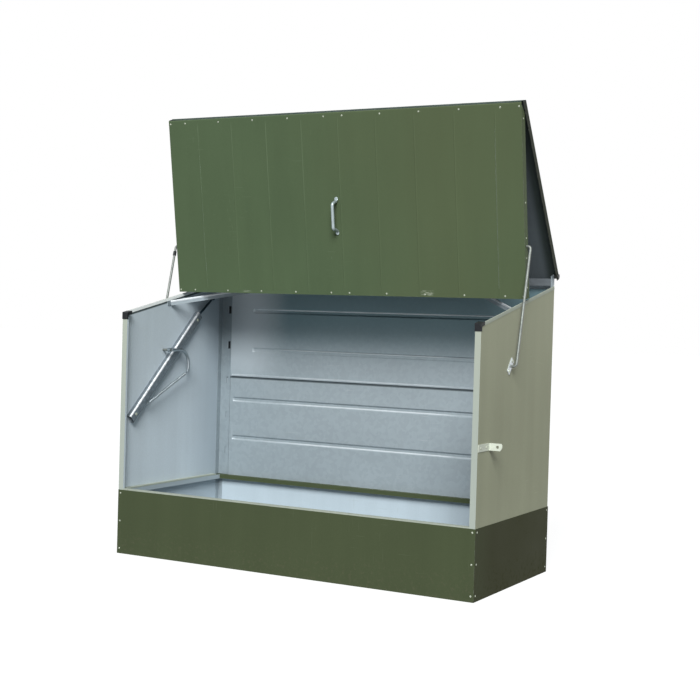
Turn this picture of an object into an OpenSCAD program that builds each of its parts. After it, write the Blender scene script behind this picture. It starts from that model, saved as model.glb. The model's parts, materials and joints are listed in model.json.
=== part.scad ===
// Low bicycle store of coated steel sheet, drawn with its lid up.
// X runs along the width, +Y to the rear, Z up; the origin is on the
// ground under the middle of the base.

/* [Body] */
// width over the base panels
width = 1900; // [1600:10:2300]
// depth over the base panels
depth = 860; // [760:10:1000]
// height of the base panels
base_height = 312; // [240:1:380]
// height of a side wall at its front edge
wall_front_height = 1178; // [1080:1:1240]
// height of a side wall at its rear edge
wall_rear_height = 1362; // [1290:1:1400]
// modelled thickness of every sheet panel
sheet = 1.5; // [1:0.1:2]
// width of the lips that the base panels fold in at the top
base_lip = 30; // [20:1:40]
// height of the fold that hangs from the inner edge of a top lip
lip_fold = 22; // [10:1:30]
// width of the front flange on each side wall
wall_flange = 28; // [20:1:36]
// height of the light trim along the top of each side wall
wall_rim = 9; // [6:1:14]
// thickness of that trim
trim_t = 1.2; // [0.8:0.1:1.5]
// length of the black corner caps along the wall's top
cap_length = 36; // [24:1:50]
// height of the black corner caps
cap_height = 32; // [20:1:44]
// thickness of the black corner caps
cap_t = 2; // [1.5:0.1:3]
// top face of the floor above the ground
floor_height = 22; // [16:1:40]
// height of the light sills on the base's top edge
sill_height = 6; // [4:1:8]
// gap between the two floor trays
seam = 0.6; // [0.4:0.1:2]

/* [Back wall] */
// height at which the upper back sheet starts to lap the lower one
back_seam_height = 848; // [700:1:1000]
// height of the lap between the two back sheets
back_lap = 22; // [14:1:40]
// how far the hem along the upper back sheet stands in
back_hem = 7; // [4:1:9]
// height of one pressed rib
rib_height = 22; // [14:1:30]
// depth of one pressed rib
rib_depth = 6; // [3:1:10]
// thickness of the slotted posts in the rear corners
post_t = 2; // [1.5:0.1:3]
// thickness of the plates that carry the hinge pins
bracket_t = 3; // [2:0.1:4]
// depth of the rear posts along the side walls
post_leg = 34; // [26:1:40]
// height of the rail that carries the lid's rear edge
rail_height = 34; // [24:1:40]

/* [Lid] */
// height of the lid's hinge pins
hinge_height = 1408; // [1404:1:1440]
// distance of the hinge pins from the rear face
hinge_inset = 5; // [3:1:12]
// angle through which the lid lifts from closed to open
lid_lift = 70; // [66:0.1:71]
// how far the lid's rear edge passes the rear face
lid_tail = 12; // [8:1:20]
// how far the lid's top passes above the hinge pins
lid_over_pin = 13; // [11:1:18]
// depth of the lid's side flanges
lid_flange = 32; // [30:1:50]
// height of the fold along the lid's front edge
lid_fascia = 34; // [26:1:44]
// diameter of the hinge pins
pin_d = 12; // [10:1:14]

/* [Door] */
// length of the door from its hinge down
door_length = 870; // [820:1:880]
// depth of the door's side returns
door_return = 38; // [30:1:44]
// depth of the door's inner rails
door_rail = 12; // [8:1:14]
// lean of the open door away from upright
door_lean = 8.6; // [6:0.1:9]
// gap between the closed door's hinge and the base front
door_gap = 18; // [17:1:24]
// side play between the door returns and the side walls
side_play = 8; // [7:0.5:10]
// distance from the door hinge down to the middle of the handle
handle_drop = 490; // [440:1:540]
// height of the handle over its end plates
handle_height = 184; // [140:1:200]
// diameter of the handle bar
handle_d = 12; // [10:1:16]
// stand-off of the handle bar from the door
handle_reach = 40; // [34:1:50]

/* [Link rods] */
// diameter of the link rods
rod_d = 12; // [8:1:12]
// distance of the rods outside the side walls
rod_offset = 28; // [27:1:34]
// inner radius of the bends at the rod ends
rod_bend = 8; // [7:1:12]
// distance from the door hinge down to the rod pivots
rod_drop = 634; // [600:1:634]
// distance of the wall pivots behind the front face
rod_pivot_y = 330; // [320:1:330]
// clearance round a pin in its hole
pin_play = 0.1; // [0.05:0.05:0.2]

/* [Wall fittings] */
// width of the spring channels
channel_w = 48; // [36:1:52]
// depth of the spring channels
channel_d = 26; // [20:1:28]
// diameter of the lift springs
spring_d = 20; // [16:1:20]
// diameter of the tail rods that tie the springs to the walls
tail_d = 12; // [8:1:14]
// diameter of the bent spring levers
lever_d = 11; // [8:1:12]
// diameter of the thin rods that hang from the levers
spring_wire_d = 7; // [5:1:8]
// height of the padlock tabs' middle
tab_height = 652; // [560:1:668]
// height of a padlock tab
tab_w = 32; // [26:1:36]
// how far a padlock tab stands out from the base side
tab_reach = 60; // [40:1:70]
// diameter of the padlock hole
tab_hole_d = 13; // [8:1:14]
// width of the corner brace bars
brace_w = 24; // [18:1:30]

/* [Hidden] */
$fn = 48;
// the origin is midway between the front caps and the raised lid's rear edge
lid_tail_y = lid_tail + hinge_inset;
lid_run = depth - hinge_inset + door_gap + 6;
lid_front_z = wall_front_height + 12 + lid_fascia;
lid_pitch = atan2(hinge_height + lid_over_pin - lid_front_z, lid_run);
lid_tail_z = lid_over_pin + lid_tail_y * tan(lid_pitch);
lid_reach = lid_tail_y * cos(lid_lift) + lid_tail_z * sin(lid_lift) - hinge_inset;
front = -round(5 * (depth + lid_reach - cap_t)) / 10;
rear = front + depth;
side = width / 2;
wall_out = side - sheet;
wall_in = side - 2 * sheet;
slope = (wall_rear_height - wall_front_height) / depth;

// points of the lid linkage in the Y-Z plane, closed and open
pin = [rear - hinge_inset, hinge_height];
hinge_closed = [front - door_gap, wall_front_height + 8];
lid_r = norm(hinge_closed - pin);
lid_closed_a = atan2(hinge_closed[1] - pin[1], hinge_closed[0] - pin[0]);
hinge_open = pin + lid_r * [cos(lid_closed_a - lid_lift), sin(lid_closed_a - lid_lift)];
rod_in = 16.5;
rod_top = hinge_open + rod_drop * [sin(door_lean), -cos(door_lean)]
    + rod_in * [cos(door_lean), sin(door_lean)];
rod_top_closed = hinge_closed + [rod_in, -rod_drop];
rod_mid = (rod_top + rod_top_closed) / 2;
rod_dir = rod_top - rod_top_closed;
rod_foot_y = front + rod_pivot_y;
rod_foot = [rod_foot_y, rod_mid[1] - rod_dir[0] * (rod_foot_y - rod_mid[0]) / rod_dir[1]];
rod_len = norm(rod_top - rod_foot);
rod_a = atan2(rod_top[1] - rod_foot[1], rod_top[0] - rod_foot[0]);
rod_x = side + rod_offset;
rod_r = rod_bend + rod_d / 2;

// lid section, closed: skin line from the front fold to the rear edge
door_skin_y = -3.5;
lid_side_in = side + 13.2;
lid_side_out = lid_side_in + sheet;
fascia_y = pin[0] - lid_run;
fascia_bottom = lid_front_z - lid_fascia;
lid_rear_y = rear + lid_tail;
function lid_z(y) = lid_front_z + (y - fascia_y) * tan(lid_pitch);
function wall_z(y) = wall_front_height + slope * (y - front);

// middle line of the spring channels and the bent levers (Y, Z)
channel_lo = [front + 62, 652];
channel_hi = [front + 617, 1172];
channel_a = atan2(channel_hi[1] - channel_lo[1], channel_hi[0] - channel_lo[0]);
channel_len = norm(channel_hi - channel_lo);
tail_end = channel_hi + [125, 92];
spring_inset = 40;
lever_x = wall_in - channel_d - lever_d / 2 - 8;
// the lever runs back from its hub, bends down and ends in an eye (Y, Z from the hub)
lever_arm = 92;
lever_bend = 74;
lever_eye = [lever_arm + lever_bend, -112];
wire_end = [-176, -268];

// corner braces: from a side wall's rim to the rear rail, with a foot at each end
brace_from = [wall_in, front + 380];
brace_to = [side - 420, rear - 33];
brace_t = 3;
brace_foot = 44;

module tube_between(a, b, d) {
    v = b - a;
    translate(a)
        rotate([0, acos(v[2] / norm(v)), atan2(v[1], v[0])])
            cylinder(d = d, h = norm(v));
}

// extrudes a Y-Z outline along X, from x0 by t
module yz_slab(x0, t) {
    translate([x0, 0, 0])
        rotate([90, 0, 90])
            linear_extrude(t)
                children();
}

module both_sides() {
    children();
    mirror([1, 0, 0])
        children();
}

// the same piece at the rear face as at the front face
module to_rear() {
    translate([0, front + rear, 0])
        mirror([0, 1, 0])
            children();
}

// turns what is drawn closed into its open place
module lid_open() {
    translate([0, pin[0], pin[1]])
        rotate([-lid_lift, 0, 0])
            translate([0, -pin[0], -pin[1]])
                children();
}

// door pieces are drawn below the hinge axis, outer face towards -Y
module door_open() {
    translate([0, hinge_open[0], hinge_open[1]])
        rotate([door_lean, 0, 0])
            children();
}

// two pressed trays that meet at a seam in the middle
module floor_trays() {
    half = wall_out - seam / 2;
    color("lightsteelblue")
        both_sides()
            difference() {
                translate([seam / 2, front + sheet, sheet])
                    cube([half, depth - 2 * sheet, floor_height - sheet]);
                translate([seam / 2 + sheet, front + 2 * sheet, 0])
                    cube([half - 2 * sheet, depth - 4 * sheet, floor_height - sheet]);
            }
}

// long base panel with its folded-in top and bottom lips
module base_long() {
    color("darkolivegreen") {
        translate([-side, front, 0])
            cube([width, sheet, base_height]);
        translate([-side, front, base_height - sheet])
            cube([width, base_lip, sheet]);
        translate([-side + base_lip, front + base_lip - sheet, base_height - lip_fold])
            cube([width - 2 * base_lip, sheet, lip_fold - sheet]);
        translate([-side, front, 0])
            cube([width, base_lip, sheet]);
    }
}

module base_front() {
    base_long();
}

module base_back() {
    to_rear()
        base_long();
}

module base_end() {
    color("darkolivegreen") {
        translate([side - sheet, front + sheet, sheet])
            cube([sheet, depth - 2 * sheet, base_height - 2 * sheet]);
        translate([side - base_lip, front + base_lip, base_height - sheet])
            cube([base_lip, depth - 2 * base_lip, sheet]);
        translate([side - base_lip, front + base_lip, base_height - lip_fold])
            cube([sheet, depth - 2 * base_lip, lip_fold - sheet]);
        translate([side - base_lip, front + base_lip, 0])
            cube([base_lip, depth - 2 * base_lip, sheet]);
    }
}

module base_right() {
    base_end();
}

module base_left() {
    mirror([1, 0, 0])
        base_end();
}

module corner_angle() {
    h = base_height - sheet - floor_height;
    translate([side - sheet - 26, front + sheet, floor_height])
        cube([26, 2, h]);
    translate([side - sheet - 2, front + sheet + 2, floor_height])
        cube([2, 24, h]);
}

module corner_angles() {
    color("lightsteelblue")
        both_sides() {
            corner_angle();
            to_rear()
                corner_angle();
        }
}

// light sill that covers the front panel's folded top edge
module front_sill() {
    color("ivory")
        translate([-side + wall_flange + sheet, front, base_height])
            cube([width - 2 * (wall_flange + sheet), base_lip - 4, sill_height]);
}

// light sills along the feet of the side walls
module side_sill() {
    color("ivory")
        translate([side - base_lip + 2, front + base_lip, base_height])
            cube([base_lip - 2 - 2 * sheet, depth - 2 * base_lip - post_leg, sill_height]);
}

module side_sills() {
    both_sides()
        side_sill();
}

module side_wall() {
    color("darkkhaki")
        difference() {
            union() {
                yz_slab(wall_in, sheet)
                    polygon([[front, base_height], [rear - 3 * sheet, base_height],
                        [rear - 3 * sheet, wall_z(rear - 3 * sheet)], [front, wall_front_height]]);
                translate([wall_out - wall_flange, front, base_height])
                    cube([wall_flange, sheet, wall_front_height - base_height]);
                translate([wall_out - wall_flange, front, base_height])
                    cube([sheet, 12, wall_front_height - base_height]);
            }
            pivot_hole();
        }
}

module pivot_hole() {
    translate([side - 60, rod_foot[0], rod_foot[1]])
        rotate([0, 90, 0])
            cylinder(d = rod_d + 2 * pin_play, h = 120);
}

module wall_right() {
    side_wall();
}

module wall_left() {
    mirror([1, 0, 0])
        side_wall();
}

// folded trim that caps a side wall's sloping top edge
module wall_trim() {
    y0 = front - cap_t + cap_length;
    y1 = rear - 3 * sheet;
    color("gainsboro")
        difference() {
            yz_slab(wall_in - trim_t, sheet + 2 * trim_t)
                polygon([[y0, wall_z(y0) - wall_rim], [y1, wall_z(y1) - wall_rim],
                    [y1, wall_z(y1) + trim_t], [y0, wall_z(y0) + trim_t]]);
            yz_slab(wall_in, sheet)
                polygon([[y0 - 1, wall_z(y0 - 1) - wall_rim - 2],
                    [y1 + 1, wall_z(y1 + 1) - wall_rim - 2],
                    [y1 + 1, wall_z(y1 + 1)], [y0 - 1, wall_z(y0 - 1)]]);
        }
}

module wall_trims() {
    both_sides()
        wall_trim();
}

// black plastic cap on the front top corner of a side wall
module corner_cap() {
    y0 = front - cap_t;
    y1 = y0 + cap_length;
    color("dimgray")
        difference() {
            yz_slab(wall_out - wall_flange - cap_t, wall_flange + 2 * cap_t)
                polygon([[y0, wall_front_height - cap_height], [y0 + 8, wall_front_height - cap_height],
                    [y0 + 8, wall_front_height - 12], [y1, wall_z(y1) - 12],
                    [y1, wall_z(y1) + cap_t], [y0, wall_z(y0) + cap_t]]);
            yz_slab(wall_out - wall_flange, wall_flange)
                polygon([[front, wall_front_height - cap_height - 1],
                    [y1 + 1, wall_front_height - cap_height - 1],
                    [y1 + 1, wall_z(y1 + 1)], [front, wall_front_height]]);
        }
}

module corner_caps() {
    both_sides()
        corner_cap();
}

// flat sheet from level z0 up, front face at y0, with level ribs pressed out to the rear
module ribbed_sheet(y0, z0, h, levels, half) {
    difference() {
        union() {
            translate([-wall_in, y0, z0])
                cube([2 * wall_in, sheet, h]);
            for (z = levels)
                translate([-half, y0, z - rib_height / 2])
                    cube([2 * half, sheet + rib_depth, rib_height]);
        }
        for (z = levels)
            translate([sheet - half, y0 - 1, z - rib_height / 2 + sheet])
                cube([2 * half - 2 * sheet, 1 + rib_depth, rib_height - 2 * sheet]);
    }
}

module back_wall_lower() {
    h = back_seam_height - base_height;
    color("silver")
        ribbed_sheet(rear - 2 * sheet, base_height, h + back_lap,
            [for (k = [0.38, 0.765]) base_height + k * h], wall_in - 85);
}

module back_wall_upper() {
    h = wall_rear_height - back_seam_height;
    color("silver") {
        ribbed_sheet(rear - 3 * sheet, back_seam_height, h,
            [for (k = [0.28, 0.69]) back_seam_height + k * h], wall_in - 205);
        translate([-wall_in + 75, rear - 3 * sheet - back_hem, back_seam_height])
            cube([2 * wall_in - 150, back_hem, 1.5 * back_hem]);
    }
}

// slotted angle in each rear corner
module corner_post() {
    h = wall_rear_height - base_height - 42;
    x1 = wall_in;
    y1 = rear - 3 * sheet;
    color("silver")
        difference() {
            union() {
                translate([x1 - 62, y1 - post_t, base_height + sheet])
                    cube([62, post_t, h]);
                translate([x1 - post_t, y1 - post_leg, base_height + sheet])
                    cube([post_t, post_leg, h]);
            }
            for (k = [0.115:0.1885:0.9])
                translate([x1 - 48, y1 - 5, base_height + k * h])
                    cube([9, 8, 34]);
        }
}

module corner_posts() {
    both_sides()
        corner_post();
}

module rear_rail() {
    half = wall_in - post_t - bracket_t;
    color("silver")
        translate([-half, rear - 3 * sheet - 28, wall_rear_height])
            difference() {
                cube([2 * half, 18, rail_height]);
                translate([-1, sheet, -1])
                    cube([2 * half + 2, 18 - 2 * sheet, rail_height - sheet + 1]);
            }
}

// plate that carries the lid's hinge pin above a side wall
module hinge_bracket() {
    x0 = wall_in - post_t - bracket_t;
    y0 = rear - 3 * sheet - 32;
    z0 = wall_rear_height - 84;
    color("silver")
        difference() {
            union() {
                translate([x0, y0, z0])
                    cube([bracket_t, 30 - post_t, hinge_height - z0]);
                translate([x0, pin[0], hinge_height])
                    rotate([0, 90, 0])
                        cylinder(d = pin_d + 6, h = bracket_t);
                translate([x0, y0, wall_rear_height + 2])
                    cube([bracket_t, pin[0] + 7 - y0, hinge_height - wall_rear_height - 2]);
            }
            translate([x0 - 1, pin[0], hinge_height])
                rotate([0, 90, 0])
                    cylinder(d = pin_d, h = bracket_t + 2);
        }
}

module hinge_brackets() {
    both_sides()
        hinge_bracket();
}

module hinge_pin() {
    x0 = wall_in - post_t - bracket_t - 5;
    x1 = lid_side_out + 1;
    color("gainsboro")
        translate([x0, pin[0], hinge_height])
            rotate([0, 90, 0]) {
                cylinder(d = pin_d, h = x1 + 4 - x0);
                translate([0, 0, x1 - x0])
                    cylinder(d = pin_d + 10, h = 4);
                cylinder(d = pin_d + 6, h = 5);
            }
}

module hinge_pins() {
    both_sides()
        hinge_pin();
}

// slanted plate on the outside of a side wall, for the rod's lower end
module rod_bracket() {
    color("gainsboro")
        difference() {
            translate([wall_out, rod_foot[0], rod_foot[1]])
                rotate([-40, 0, 0])
                    translate([0, -14, -38])
                        cube([4, 28, 76]);
            pivot_hole();
        }
}

module rod_brackets() {
    both_sides()
        rod_bracket();
}

// bent plate on the wall's outer side with a hole for a padlock
module padlock_tab() {
    y1 = front + 122;
    color("ivory")
        difference() {
            union() {
                translate([wall_out, front + 3, tab_height - tab_w / 2])
                    cube([2.5, 119, tab_w]);
                translate([wall_out, y1 - 2.5, tab_height])
                    rotate([90, 0, 0])
                        mirror([0, 0, 1])
                            linear_extrude(2.5)
                                polygon([[0, -tab_w / 2], [tab_reach - 8, -tab_w / 2],
                                    [tab_reach + sheet, -tab_w / 2 + 14],
                                    [tab_reach + sheet, tab_w / 2 - 6],
                                    [tab_reach - 4, tab_w / 2], [0, tab_w / 2]]);
            }
            translate([side + tab_reach - 22, y1 - 10, tab_height])
                rotate([-90, 0, 0])
                    cylinder(d = tab_hole_d, h = 20);
        }
}

module padlock_tabs() {
    both_sides()
        padlock_tab();
}

// pressed channel that holds the lift spring, slanting up the wall
module spring_channel() {
    color("silver")
        translate([wall_in, channel_lo[0], channel_lo[1]])
            rotate([channel_a, 0, 0])
                difference() {
                    translate([-channel_d, 0, -channel_w / 2])
                        cube([channel_d, channel_len, channel_w]);
                    translate([-channel_d + 2, -1, -channel_w / 2 + 2])
                        cube([channel_d, channel_len + 2, channel_w - 4]);
                }
}

module spring_channels() {
    both_sides()
        spring_channel();
}

// spring and its tail rod, running up out of the channel to the wall
module spring_rod() {
    x = wall_in - 12;
    low = channel_lo + spring_inset * [cos(channel_a), sin(channel_a)];
    color("dimgray") {
        tube_between([x, low[0], low[1]], [x, channel_hi[0], channel_hi[1]], spring_d);
        tube_between([x, channel_hi[0], channel_hi[1]], [x, tail_end[0], tail_end[1]], tail_d);
        translate([x - 6, tail_end[0], tail_end[1]])
            rotate([0, 90, 0])
                cylinder(d = spring_d + 4, h = wall_in - x + 6);
    }
}

module spring_rods() {
    both_sides()
        spring_rod();
}

// flat bar across a corner from the wall rim to the rear rail
module corner_brace() {
    a = [brace_from[0] - 4, brace_from[1], wall_z(brace_from[1]) - wall_rim - brace_w / 2 - 8];
    b = [brace_to[0], brace_to[1], wall_rear_height - 20];
    v = b - a;
    color("silver") {
        translate(a)
            rotate([0, 0, atan2(v[1], v[0])])
                rotate([0, -atan2(v[2], norm([v[0], v[1]])), 0])
                    translate([0, -brace_t / 2, -brace_w / 2])
                        cube([norm(v), brace_t, brace_w]);
        translate([brace_from[0] - brace_t, a[1] - 24, a[2] - brace_w / 2])
            cube([brace_t, brace_foot, brace_w]);
        translate([b[0] - brace_foot, rear - 4 * sheet - brace_t, b[2] - brace_w / 2])
            cube([brace_foot + 16, brace_t + sheet, brace_w]);
        translate([b[0] - brace_t, b[1], b[2] - brace_w / 2])
            cube([brace_t, rear - 3 * sheet - b[1], brace_w]);
    }
}

module corner_braces() {
    both_sides()
        corner_brace();
}

// lid skin with its front fold, which stops short of the door's side returns
module lid_panel() {
    fold = side + side_play - sheet - 5;
    color("slategray")
        lid_open() {
            yz_slab(-lid_side_out, 2 * lid_side_out)
                polygon([[fascia_y, lid_front_z - sheet], [lid_rear_y, lid_z(lid_rear_y) - sheet],
                    [lid_rear_y, lid_z(lid_rear_y)], [fascia_y, lid_front_z]]);
            yz_slab(-fold, 2 * fold)
                polygon([[fascia_y, fascia_bottom], [fascia_y + sheet, fascia_bottom],
                    [fascia_y + sheet, lid_front_z], [fascia_y, lid_front_z]]);
        }
}

module lid_flange_plate() {
    y0 = fascia_y + sheet;
    y1 = lid_rear_y;
    color("darkolivegreen")
        lid_open()
            difference() {
                yz_slab(lid_side_in, sheet)
                    polygon([[y0, fascia_bottom + 2],
                        [y0 + lid_flange, lid_z(y0 + lid_flange) - lid_flange],
                        [y1, lid_z(y1) - lid_flange], [y1, lid_z(y1) - sheet],
                        [y0, lid_z(y0) - sheet]]);
                translate([lid_side_in - 5, pin[0], pin[1]])
                    rotate([0, 90, 0])
                        cylinder(d = pin_d + 2 * pin_play, h = 15);
            }
}

module lid_flanges() {
    both_sides()
        lid_flange_plate();
}

// top-hat bars that stiffen the lid from front to rear
module lid_stiffeners() {
    y0 = fascia_y + 40;
    y1 = rear - 90;
    color("silver")
        lid_open()
            for (x = [-width / 4, 0, width / 4])
                yz_slab(x - 20, 40)
                    polygon([[y0, lid_z(y0) - sheet - 16], [y1, lid_z(y1) - sheet - 16],
                        [y1, lid_z(y1) - sheet], [y0, lid_z(y0) - sheet]]);
}

// hinge tube along the door's top edge, with its leaf behind the door sheet
module door_hinge() {
    half = side + side_play - sheet - 1.2;
    color("silver")
        door_open() {
            translate([-half, 0, 0])
                rotate([0, 90, 0])
                    cylinder(d = 7, h = 2 * half);
            translate([-half, door_skin_y + sheet, -18])
                cube([2 * half, sheet, 17]);
        }
}

// one half of the door's outer sheet
module door_sheet() {
    color("darkolivegreen")
        door_open()
            translate([0, door_skin_y, -door_length])
                cube([side + side_play, sheet, door_length - 4.5]);
}

module door_panel_right() {
    door_sheet();
}

module door_panel_left() {
    mirror([1, 0, 0])
        door_sheet();
}

module door_side() {
    color("darkolivegreen")
        door_open()
            difference() {
                yz_slab(side + side_play - sheet, sheet)
                    polygon([[door_skin_y + sheet, -door_length],
                        [door_skin_y + door_return, -door_length],
                        [door_skin_y + door_return, -6 - door_return],
                        [door_skin_y + sheet, -6]]);
                translate([side - 5, rod_in, -rod_drop])
                    rotate([0, 90, 0])
                        cylinder(d = rod_d + 2 * pin_play, h = 30);
            }
}

module door_sides() {
    both_sides()
        door_side();
}

module door_rail_bar(z0, h) {
    w = side - wall_flange - 12;
    translate([-w, door_skin_y + sheet, z0])
        difference() {
            cube([2 * w, door_rail, h]);
            translate([-1, -1, sheet])
                cube([2 * w + 2, door_rail - sheet + 1, h - 2 * sheet]);
        }
}

module door_rails() {
    color("silver")
        door_open() {
            door_rail_bar(-door_length, 40);
            door_rail_bar(-70, 40);
        }
}

module door_stile() {
    color("silver")
        door_open()
            translate([-25, door_skin_y + sheet, -door_length + 40])
                cube([50, door_rail, door_length - 110]);
}

// quarter bend of a bar: starts at the origin along +Z, ends r inwards along +X
module elbow(r, d) {
    translate([r, 0, 0])
        rotate([90, 0, 180])
            rotate_extrude(angle = 90)
                translate([r, 0])
                    circle(d = d);
}

module door_handle() {
    h = handle_height - 30;
    r = handle_d / 2 + 8;
    y = door_skin_y - handle_reach;
    color("gainsboro")
        door_open()
            translate([0, 0, -handle_drop]) {
                translate([0, y, r - h / 2])
                    cylinder(d = handle_d, h = h - 2 * r);
                for (m = [0, 1])
                    mirror([0, 0, m]) {
                        translate([0, y, h / 2 - r])
                            rotate([0, 0, 90])
                                elbow(r, handle_d);
                        translate([0, y + r, h / 2])
                            rotate([-90, 0, 0])
                                cylinder(d = handle_d, h = handle_reach - r);
                        translate([0, door_skin_y - 3, h / 2])
                            rotate([-90, 0, 0])
                                cylinder(d = 30, h = 3);
                    }
            }
}

// bent rod from the wall pivot up to the door's side
module link_rod() {
    pin_in = lever_x - lever_d / 2 - 3;
    color("gainsboro")
        translate([0, rod_foot[0], rod_foot[1]])
            rotate([rod_a - 90, 0, 0]) {
                translate([rod_x, 0, rod_r])
                    cylinder(d = rod_d, h = rod_len - 2 * rod_r);
                for (m = [0, 1])
                    translate([rod_x, 0, rod_len / 2])
                        mirror([0, 0, m])
                            translate([0, 0, rod_len / 2 - rod_r])
                                rotate([0, 0, 180])
                                    elbow(rod_r, rod_d);
                translate([pin_in, 0, 0])
                    rotate([0, 90, 0])
                        cylinder(d = rod_d, h = rod_x - rod_r - pin_in);
                translate([side + 3.5, 0, rod_len])
                    rotate([0, 90, 0])
                        cylinder(d = rod_d, h = rod_offset - rod_r - 3.5);
            }
}

module link_rods() {
    both_sides()
        link_rod();
}

module rod_collar() {
    color("dimgray")
        mirror([1, 0, 0])
            translate([0, rod_foot[0], rod_foot[1]])
                rotate([rod_a - 90, 0, 0])
                    translate([rod_x, 0, rod_len - 52])
                        difference() {
                            cylinder(d = rod_d + 5, h = 22);
                            translate([0, 0, -1])
                                cylinder(d = rod_d, h = 24);
                        }
}

// bent lever inside the wall, turning with the link rod, and the thin rod that hangs from it
module spring_lever() {
    hub_d = rod_d + 10;
    color("silver")
        translate([lever_x, rod_foot[0], rod_foot[1]])
            difference() {
                union() {
                    translate([-7, 0, 0])
                        rotate([0, 90, 0])
                            cylinder(d = hub_d, h = 14);
                    rotate([-90, 0, 0])
                        cylinder(d = lever_d, h = lever_arm);
                    translate([0, lever_arm, -lever_bend])
                        rotate([90, 0, 90])
                            rotate_extrude(angle = 90)
                                translate([lever_bend, 0])
                                    circle(d = lever_d);
                    translate([0, lever_eye[0], lever_eye[1]])
                        cylinder(d = lever_d, h = -lever_bend - lever_eye[1]);
                    translate([0, lever_eye[0], lever_eye[1]])
                        sphere(d = lever_d + 2);
                    tube_between([0, lever_eye[0], lever_eye[1]], [0, wire_end[0], wire_end[1]],
                        spring_wire_d);
                }
                translate([-20, 0, 0])
                    rotate([0, 90, 0])
                        cylinder(d = rod_d, h = 40);
            }
}

module spring_levers() {
    both_sides()
        spring_lever();
}

floor_trays();
base_front();
base_back();
base_left();
base_right();
corner_angles();
front_sill();
side_sills();
wall_left();
wall_right();
wall_trims();
corner_caps();
back_wall_lower();
back_wall_upper();
corner_posts();
rear_rail();
hinge_brackets();
hinge_pins();
rod_brackets();
padlock_tabs();
spring_channels();
spring_rods();
corner_braces();
lid_panel();
lid_flanges();
lid_stiffeners();
door_hinge();
door_panel_left();
door_panel_right();
door_sides();
door_rails();
door_stile();
door_handle();
link_rods();
rod_collar();
spring_levers();
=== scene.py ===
import json
import math

import bmesh
import bpy
from mathutils import Matrix, Vector

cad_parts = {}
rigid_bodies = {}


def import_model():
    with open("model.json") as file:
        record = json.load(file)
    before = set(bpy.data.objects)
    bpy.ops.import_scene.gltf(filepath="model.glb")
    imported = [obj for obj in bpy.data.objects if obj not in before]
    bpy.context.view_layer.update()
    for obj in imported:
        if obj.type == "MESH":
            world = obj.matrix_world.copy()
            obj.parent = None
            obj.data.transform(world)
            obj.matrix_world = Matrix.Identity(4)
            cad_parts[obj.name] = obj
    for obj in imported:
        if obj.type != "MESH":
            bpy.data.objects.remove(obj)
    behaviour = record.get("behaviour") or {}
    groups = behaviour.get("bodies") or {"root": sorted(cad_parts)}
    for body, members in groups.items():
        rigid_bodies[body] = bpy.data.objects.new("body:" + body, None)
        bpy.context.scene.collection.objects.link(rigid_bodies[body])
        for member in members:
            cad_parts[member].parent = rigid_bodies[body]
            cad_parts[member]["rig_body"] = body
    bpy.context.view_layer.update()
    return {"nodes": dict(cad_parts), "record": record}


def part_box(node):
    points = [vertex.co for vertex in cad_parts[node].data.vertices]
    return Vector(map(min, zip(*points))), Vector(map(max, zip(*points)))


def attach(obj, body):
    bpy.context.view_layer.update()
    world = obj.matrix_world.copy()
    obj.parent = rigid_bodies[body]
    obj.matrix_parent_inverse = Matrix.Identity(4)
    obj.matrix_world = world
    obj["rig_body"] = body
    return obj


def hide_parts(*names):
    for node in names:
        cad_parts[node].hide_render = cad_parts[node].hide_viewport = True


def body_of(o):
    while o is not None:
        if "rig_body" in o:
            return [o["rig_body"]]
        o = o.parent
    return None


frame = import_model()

bl_info = {
    "name": "Bicycle Store Dressing",
    "version": (1, 0, 0),
    "blender": (4, 5, 0),
    "location": "3D View > Sidebar > Bicycle Store",
    "description": "Finishes, pressed sheets, fittings and fasteners of a steel bicycle store",
    "category": "Object",
}

SIDES = (-1, 1)
ACROSS, BACK, UP = Vector((1.0, 0.0, 0.0)), Vector((0.0, 1.0, 0.0)), Vector((0.0, 0.0, 1.0))
RIGHT_ANGLE = math.radians(90)
SHEET = 0.0015
# Front face of the door's skin, in the door's own axes
DOOR_SKIN = -0.0035
# Height of the base's inner lip, and how far the rim trims' lips hang down
LIP_FOLD = 0.022
RIM_DROP = 0.014
# Depth that the beads of the back sheets take up behind them
RIB_DEPTH = 0.006
# Distance from the middle to the braces' rear ends
BRACE_END = 0.53
# From the link rods' axis: the lever's elbow to the rear, its foot, and the coil rod's ends
LEVER_REACH, LEVER_FOOT = 0.166, 0.118
COIL_LOW, COIL_HIGH = (-0.176, -0.268), (0.166, -0.112)
# Half the width of the CAD lever, inward from the outer side of its box
LEVER_HALF = 0.007


# ---------------------------------------------------------------- measures from the frame

def middle(node):
    """Centre of a node's box."""
    low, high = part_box(node)
    return (low + high) / 2


def slant(run, rise, width):
    """Angle of a straight strip of a known width inside a box of run by rise."""
    angle = 0.0
    for _ in range(30):
        angle = math.atan2(rise - width * math.cos(angle), run - width * math.sin(angle))
    return angle


HINGE = middle("door_hinge")
DOOR_LOW, DOOR_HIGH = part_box("door_panel_right")
DOOR_HALF = DOOR_HIGH.x
DOOR_LEAN = slant(DOOR_HIGH.z - DOOR_LOW.z, DOOR_HIGH.y - DOOR_LOW.y, SHEET)
# From the door's own axes (outer face towards -Y, Z up to the hinge) to the frame
DOOR_PLACE = Matrix.Translation((0.0, HINGE.y, HINGE.z)) @ Matrix.Rotation(DOOR_LEAN, 4, "X")
DOOR_AXES = DOOR_PLACE.inverted()
# How far the door's sheet hangs below its hinge line
DOOR_REACH = -(DOOR_AXES @ Vector((0.0, DOOR_HIGH.y, DOOR_LOW.z))).z


def wall_top():
    """Front and rear ends of the right wall's sloping top edge, in the middle of its sheet."""
    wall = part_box("wall_right")[1]
    x = wall.x - SHEET / 2
    front = Vector((x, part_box("wall_trims")[0].y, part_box("corner_caps")[1].z - 0.002))
    return front, Vector((x, wall.y, wall.z))


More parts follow.
